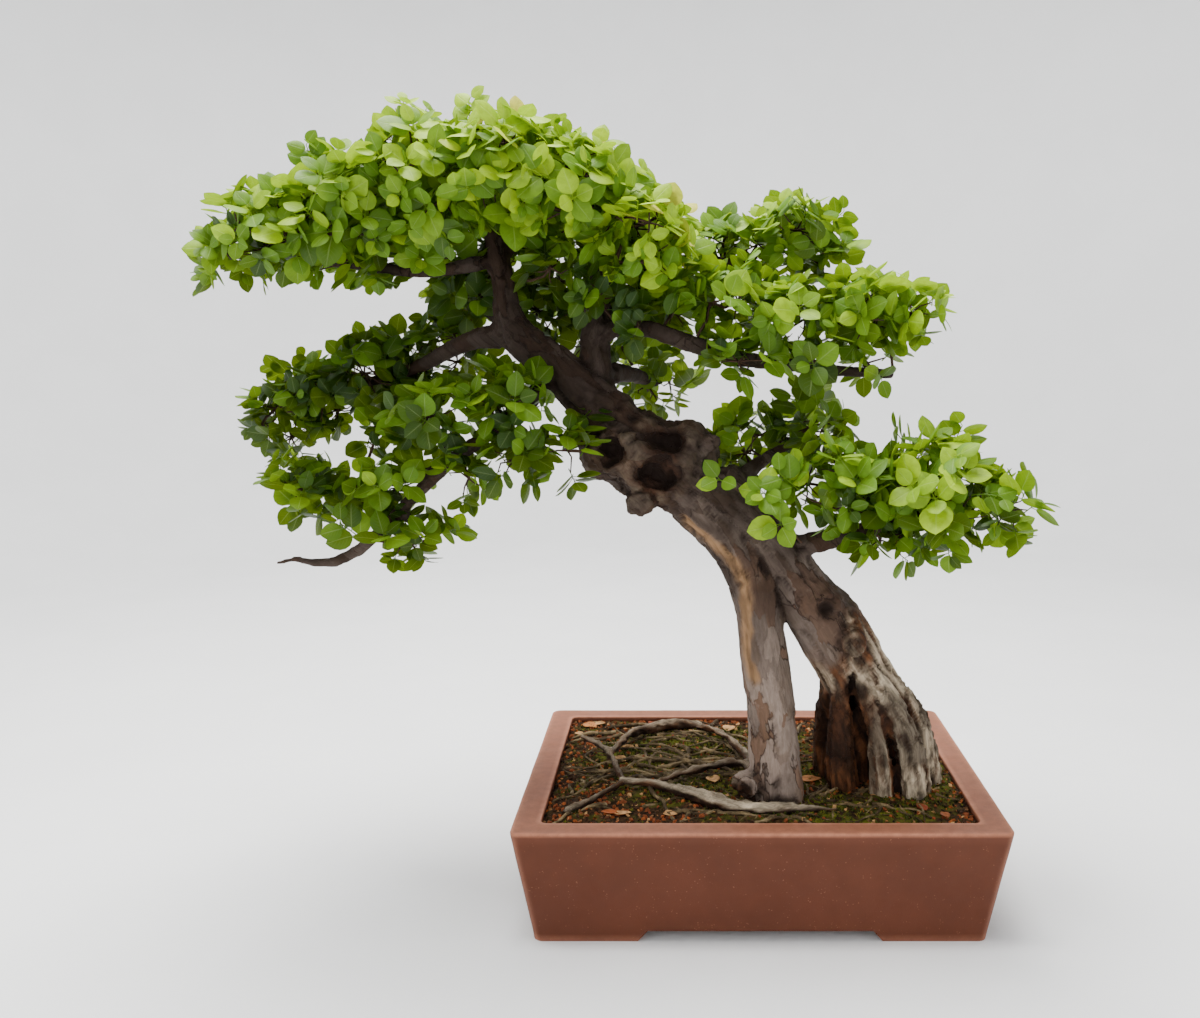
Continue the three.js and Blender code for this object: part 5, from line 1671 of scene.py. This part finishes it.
def crowded(spot, key, layer, gap, taken):
    """Whether a shoot of the same layer, kept by its cell, stands closer than the gap."""
    close = (taken.get((key[0] + a, key[1] + b, key[2] + c, layer), ())
             for a in (-1, 0, 1) for b in (-1, 0, 1) for c in (-1, 0, 1))
    return any(np.linalg.norm(spot - other) < gap for cell in close for other in cell)


def at_wood(spot, wood):
    """Whether a place is inside the wood or too close to it."""
    near, slope, _, distance = wood.find_nearest(Vector(all_at(spot)))
    return distance < WOOD_GAP * MM or (Vector(all_at(spot)) - near).dot(slope) < 0


def shoot_feet(clumps, spacing, wood, rng):
    """Feet for shoots in the outer layers of a head: place, direction and the layer's number."""
    feet = []
    taken = {}
    low, high = (from_pot(corner) for corner in CAD_BOX)
    for layer, (inset, thinness) in enumerate(LAYERS):
        gap = spacing / MM * thinness
        shells = [(np.array(clump[:3], dtype=float), np.maximum(np.array(clump[3:]) - inset, 4))
                  for clump in clumps]
        for number, (middle, radii) in enumerate(shells):
            for _ in range(int(TRIES_PER_SHOOT * ellipsoid_area(*radii) / gap ** 2) + 4):
                way = rng.normal(size=3)
                way /= np.linalg.norm(way)
                lump = noise.fractal(Vector(middle + way * radii) / 30, 0.7, 2.2, 3)
                spot = middle + way * radii * (1 + HEAD_LUMPINESS * lump)
                spot = np.clip(spot, low + LEAF_REACH, high - LEAF_REACH)
                if in_another(spot, number, shells):
                    continue
                outward = way / radii
                outward /= np.linalg.norm(outward)
                if outward[2] < -0.25 and rng.random() < 0.5:
                    continue
                key = tuple((spot // gap).astype(int))
                if crowded(spot, key, layer, gap, taken) or at_wood(spot, wood):
                    continue
                taken.setdefault((*key, layer), []).append(spot)
                lean = outward + FACING_SPREAD * rng.normal(size=3)
                lean[2] += TURN_UP if outward[2] > -0.3 else TURN_UP_UNDER
                feet.append((spot, lean / np.linalg.norm(lean), layer))
    return feet


def twig_routes(spots, wood, rng):
    """Twigs from the wood to every shoot: boughlets join groups of shoots, nearest first."""
    spots = np.array(spots)
    groups = max(1, len(spots) // 7)
    centres = spots[rng.choice(len(spots), groups, replace=False)]
    for _ in range(6):
        owner = np.argmin(np.linalg.norm(spots[:, None] - centres, axis=2), axis=1)
        centres = np.array([spots[owner == g].mean(axis=0) if (owner == g).any() else centres[g]
                            for g in range(groups)])
    roots = [wood.find_nearest(Vector(all_at(c))) for c in centres]
    root_places = np.array([from_pot(found[0]) for found in roots])
    cost = np.array([found[3] for found in roots]) / MM * 0.8
    parent = np.full(groups, -1)
    joined, order = [], []
    while len(joined) < groups:
        free = [g for g in range(groups) if g not in joined]
        g = min(free, key=lambda index: cost[index])
        joined.append(g)
        order.append(g)
        for other in free:
            gap = np.linalg.norm(centres[other] - centres[g])
            if other != g and gap < cost[other]:
                cost[other], parent[other] = gap, g
    load = np.ones(groups)
    for g in reversed(order):
        if parent[g] >= 0:
            load[parent[g]] += load[g]
    routes = []
    for g in order:
        start = centres[parent[g]] if parent[g] >= 0 else root_places[g]
        first = 0.9 + 0.42 * math.sqrt(load[g])
        routes.append(crooked(start, centres[g], first, first * 0.8, rng))
    for spot, g in zip(spots, owner):
        routes.append(crooked(centres[g], spot, 0.85, 0.5, rng))
    return routes


def crooked(start, end, first, last, rng):
    """A slightly crooked way between two places, with its radius at each point, in metres."""
    length = np.linalg.norm(end - start)
    count = max(2, int(length / 14))
    bulge = rng.normal(size=3) * length * 0.1
    route = []
    for step in range(count + 1):
        share = step / count
        jog = rng.normal(size=3) * length * 0.025 * (0 < step < count)
        place = start + (end - start) * share + bulge * math.sin(math.pi * share) + jog
        route.append((Vector(all_at(place)), (first + (last - first) * share) * MM))
    return route


@functools.cache
def head_feet(head, spacing, seed):
    """Feet of a head's shoots, the same for its leaves and for the twigs that carry them."""
    rng = np.random.default_rng((seed, list(HEADS).index(head)))
    return shoot_feet(HEADS[head][0], spacing, cad_tree("tree_wood"), rng)


def shoot_tones(feet, brightness, rng):
    """How bright each shoot is: painted light high up and facing the sky, darker deep in the head for painted
    shade and older leaves.
    """
    heights = [spot[2] for spot, _, _ in feet]
    low, high = min(heights), max(heights)
    return [brightness + 0.3 * ((spot[2] - low) / (high - low) - 0.5) + rng.normal(0, 0.1)
            - 0.16 * layer + 0.16 * way[2] for spot, way, layer in feet]


def shoot_sizes(feet, size, rng):
    """How large each shoot is: smaller deep in the head and where it faces down."""
    return [size * rng.uniform(0.8, 1.14) * (1 - 0.08 * layer) * (1 if way[2] > 0 else 0.85)
            for _, way, layer in feet]


class BONSAI_OT_add_foliage(bpy.types.Operator):
    """Add the leafy shoots of every head."""
    bl_idname = "bonsai.add_foliage"
    bl_label = "Add Foliage"

    def execute(self, context):
        settings = context.scene.bonsai_leaf
        rng = np.random.default_rng(settings.seed)
        material = leaf_material(settings)
        shapes = [rosette_shoot(f"shoot_{index}", leaves, rng, settings)
                  for index, leaves in enumerate((4, 5, 5, 6, 6, 7))]
        shapes += [spray_shoot("spray", 5, rng, settings)]
        masters = kept_aside("shoots", shapes)
        tree = shoot_tree()
        for number, (head, (_, brightness, size)) in enumerate(HEADS.items()):
            feet = head_feet(head, settings.spacing, settings.seed)
            spots = [spot for spot, _, _ in feet]
            facing = [way for _, way, _ in feet]
            tones = shoot_tones(feet, brightness, rng)
            sizes = shoot_sizes(feet, size, rng)
            for lone_head, place, way, lone_size, tone in LONE_SHOOTS:
                if lone_head == head:
                    spots.append(np.array(place))
                    facing.append(np.array(way) / np.linalg.norm(way))
                    sizes.append(lone_size)
                    tones.append(tone)
            points = mesh_object("feet", all_at(spots), [])
            store(points.data, "facing", np.array(facing))
            store(points.data, "size", sizes)
            store(points.data, "tone", tones)
            leaves = grow(points, tree, {
                "Shoots": masters, "Seed": settings.seed + number, "Material": material},
                "leaves_" + head.removeprefix("foliage_"))
            settle(leaves, SLOTS[head], head)
        clear_aside(masters)
        return {"FINISHED"}


class BONSAI_OT_add_twigs(bpy.types.Operator):
    """Add the twigs that run from the wood to every shoot."""
    bl_idname = "bonsai.add_twigs"
    bl_label = "Add Twigs"

    def execute(self, context):
        settings = context.scene.bonsai_leaf
        rng = np.random.default_rng(settings.seed + 1)
        wood = cad_tree("tree_wood")
        routes = []
        for head in HEADS:
            feet = head_feet(head, settings.spacing, settings.seed)
            routes += twig_routes([spot for spot, _, _ in feet], wood, rng)
        routes += [crooked(np.array(start), np.array(end), first, last, rng)
                   for start, end, first, last in LONE_TWIGS]
        bark = twig_material(context.scene.bonsai_wood)
        settle(grow(bare_curves("twig_lines", routes), tube_tree(), {"Material": bark}, "twigs"), "bark")
        return {"FINISHED"}


# Stage

# The camera's place, and how far its picture is shifted, as a share of the 1200 px wide image
CAMERA_PLACE = (-58.5, -1023.0, 481.6)
CAMERA_SHIFT = -88 / 1200
# The ground in metres: its radius, the wall's height and the radius of the bend between them
STAGE_RADIUS, STAGE_WALL, STAGE_BEND = 2.6, 2.2, 0.9
STAGE_SIDES = 64
SKY_COLOUR, SKY_STRENGTH = (0.93, 0.96, 1.0, 1), 0.2
# Soft lights: name, place and aim in metres from the pot, width, depth, watts and colour
LIGHTS = [
    ("overhead", (-0.35, 0.15, 2.1), (-0.05, 0.0, 0.3), 1.5, 1.2, 128, (1.0, 0.99, 0.96)),
    ("front_left", (-1.3, -1.7, 1.35), (-0.05, 0, 0.3), 1.2, 1.2, 7, (0.95, 0.98, 1.0)),
    ("right_side", (1.7, -0.6, 1.1), (0, 0, 0.3), 1.0, 1.2, 4, (1.0, 0.98, 0.95)),
]


def stage_object(name, rising):
    """Round ground that curves up into a wall all round."""
    flat = STAGE_RADIUS - STAGE_BEND
    outline = [(r, 0) for r in (0.3, 0.6, 1.0, 1.4, flat)]
    if rising:
        outline += [(flat + STAGE_BEND * math.sin(a), STAGE_BEND * (1 - math.cos(a)))
                    for a in spaced(0, math.pi / 2, 13)[1:]]
        outline.append((STAGE_RADIUS, STAGE_WALL))
    vertices = [POT_MIDDLE.copy()]
    for radius, z in outline:
        for angle in spaced(0, math.tau, STAGE_SIDES + 1)[:-1]:
            vertices.append(POT_MIDDLE + Vector((radius * math.cos(angle), radius * math.sin(angle), z)))
    turns = [(k, (k + 1) % STAGE_SIDES) for k in range(STAGE_SIDES)]
    faces = [(0, 1 + k, 1 + after) for k, after in turns]
    for ring in range(len(outline) - 1):
        low, high = 1 + ring * STAGE_SIDES, 1 + (ring + 1) * STAGE_SIDES
        faces += [(low + k, high + k, high + after, low + after) for k, after in turns]
    return mesh_object(name, vertices, faces)


def soft_light(name, place, target, width, depth, power, colour):
    data = bpy.data.lights.new(name, "AREA")
    data.shape = "RECTANGLE"
    data.size, data.size_y = width, depth
    data.energy = power
    data.color = colour
    lamp = linked(name, data)
    lamp.location = POT_MIDDLE + Vector(place)
    lamp.rotation_euler = (Vector(target) - Vector(place)).to_track_quat("-Z", "Y").to_euler()


class BONSAI_OT_add_stage(bpy.types.Operator):
    """Add the pale ground, the soft lights and the camera."""
    bl_idname = "bonsai.add_stage"
    bl_label = "Add Stage"

    def execute(self, context):
        settings = context.scene.bonsai_stage
        ground = stage_object("pale_ground", settings.show_backdrop)
        ground.data.materials.append(stage_material(settings))
        world = context.scene.world or bpy.data.worlds.new("sky")
        context.scene.world = world
        world.use_nodes = True
        sky = world.node_tree.nodes["Background"]
        sky.inputs["Color"].default_value = SKY_COLOUR
        sky.inputs["Strength"].default_value = SKY_STRENGTH
        for light in LIGHTS:
            soft_light(*light)
        camera = linked("camera", bpy.data.cameras.new("camera"))
        camera.data.lens = settings.lens
        camera.data.sensor_width = 36
        camera.data.shift_x = CAMERA_SHIFT
        camera.location = at(*CAMERA_PLACE)
        camera.rotation_euler = (math.pi / 2 - settings.tilt, 0, 0)
        context.scene.camera = camera
        return {"FINISHED"}


class BONSAI_PT_sidebar(bpy.types.Panel):
    """Lists the pieces of the bonsai and their sizes and colours."""
    bl_idname = "BONSAI_PT_sidebar"
    bl_label = "Bonsai"
    bl_space_type = "VIEW_3D"
    bl_region_type = "UI"
    bl_category = "Bonsai"

    def draw(self, context):
        for group, operators in PIECES.items():
            settings = getattr(context.scene, group)
            box = self.layout.box()
            for operator in operators:
                box.operator(operator.bl_idname)
            for name in settings.__annotations__:
                box.prop(settings, name)


PIECES = {
    "bonsai_pot": [BONSAI_OT_add_pot, BONSAI_OT_finish_drain_screens],
    "bonsai_soil": [BONSAI_OT_add_soil, BONSAI_OT_add_ground_cover, BONSAI_OT_add_thin_roots,
                    BONSAI_OT_add_fallen_leaves],
    "bonsai_wood": [BONSAI_OT_add_wood],
    "bonsai_leaf": [BONSAI_OT_add_foliage, BONSAI_OT_add_twigs],
    "bonsai_stage": [BONSAI_OT_add_stage],
}
SETTINGS = {
    "bonsai_pot": BonsaiPotSettings,
    "bonsai_soil": BonsaiSoilSettings,
    "bonsai_wood": BonsaiWoodSettings,
    "bonsai_leaf": BonsaiLeafSettings,
    "bonsai_stage": BonsaiStageSettings,
}
OPERATORS = [operator for operators in PIECES.values() for operator in operators]


def register():
    for group, settings in SETTINGS.items():
        bpy.utils.register_class(settings)
        setattr(bpy.types.Scene, group, PointerProperty(type=settings))
    for made in (*OPERATORS, BONSAI_PT_sidebar):
        bpy.utils.register_class(made)


def unregister():
    for made in (BONSAI_PT_sidebar, *reversed(OPERATORS)):
        bpy.utils.unregister_class(made)
    for group, settings in reversed(SETTINGS.items()):
        delattr(bpy.types.Scene, group)
        bpy.utils.unregister_class(settings)


def main():
    register()
    bpy.ops.bonsai.add_pot()
    bpy.ops.bonsai.finish_drain_screens()
    bpy.ops.bonsai.add_soil()
    bpy.ops.bonsai.add_ground_cover()
    bpy.ops.bonsai.add_thin_roots()
    bpy.ops.bonsai.add_fallen_leaves()
    bpy.ops.bonsai.add_wood()
    bpy.ops.bonsai.add_foliage()
    bpy.ops.bonsai.add_twigs()
    bpy.ops.bonsai.add_stage()


if __name__ == "__main__":
    main()
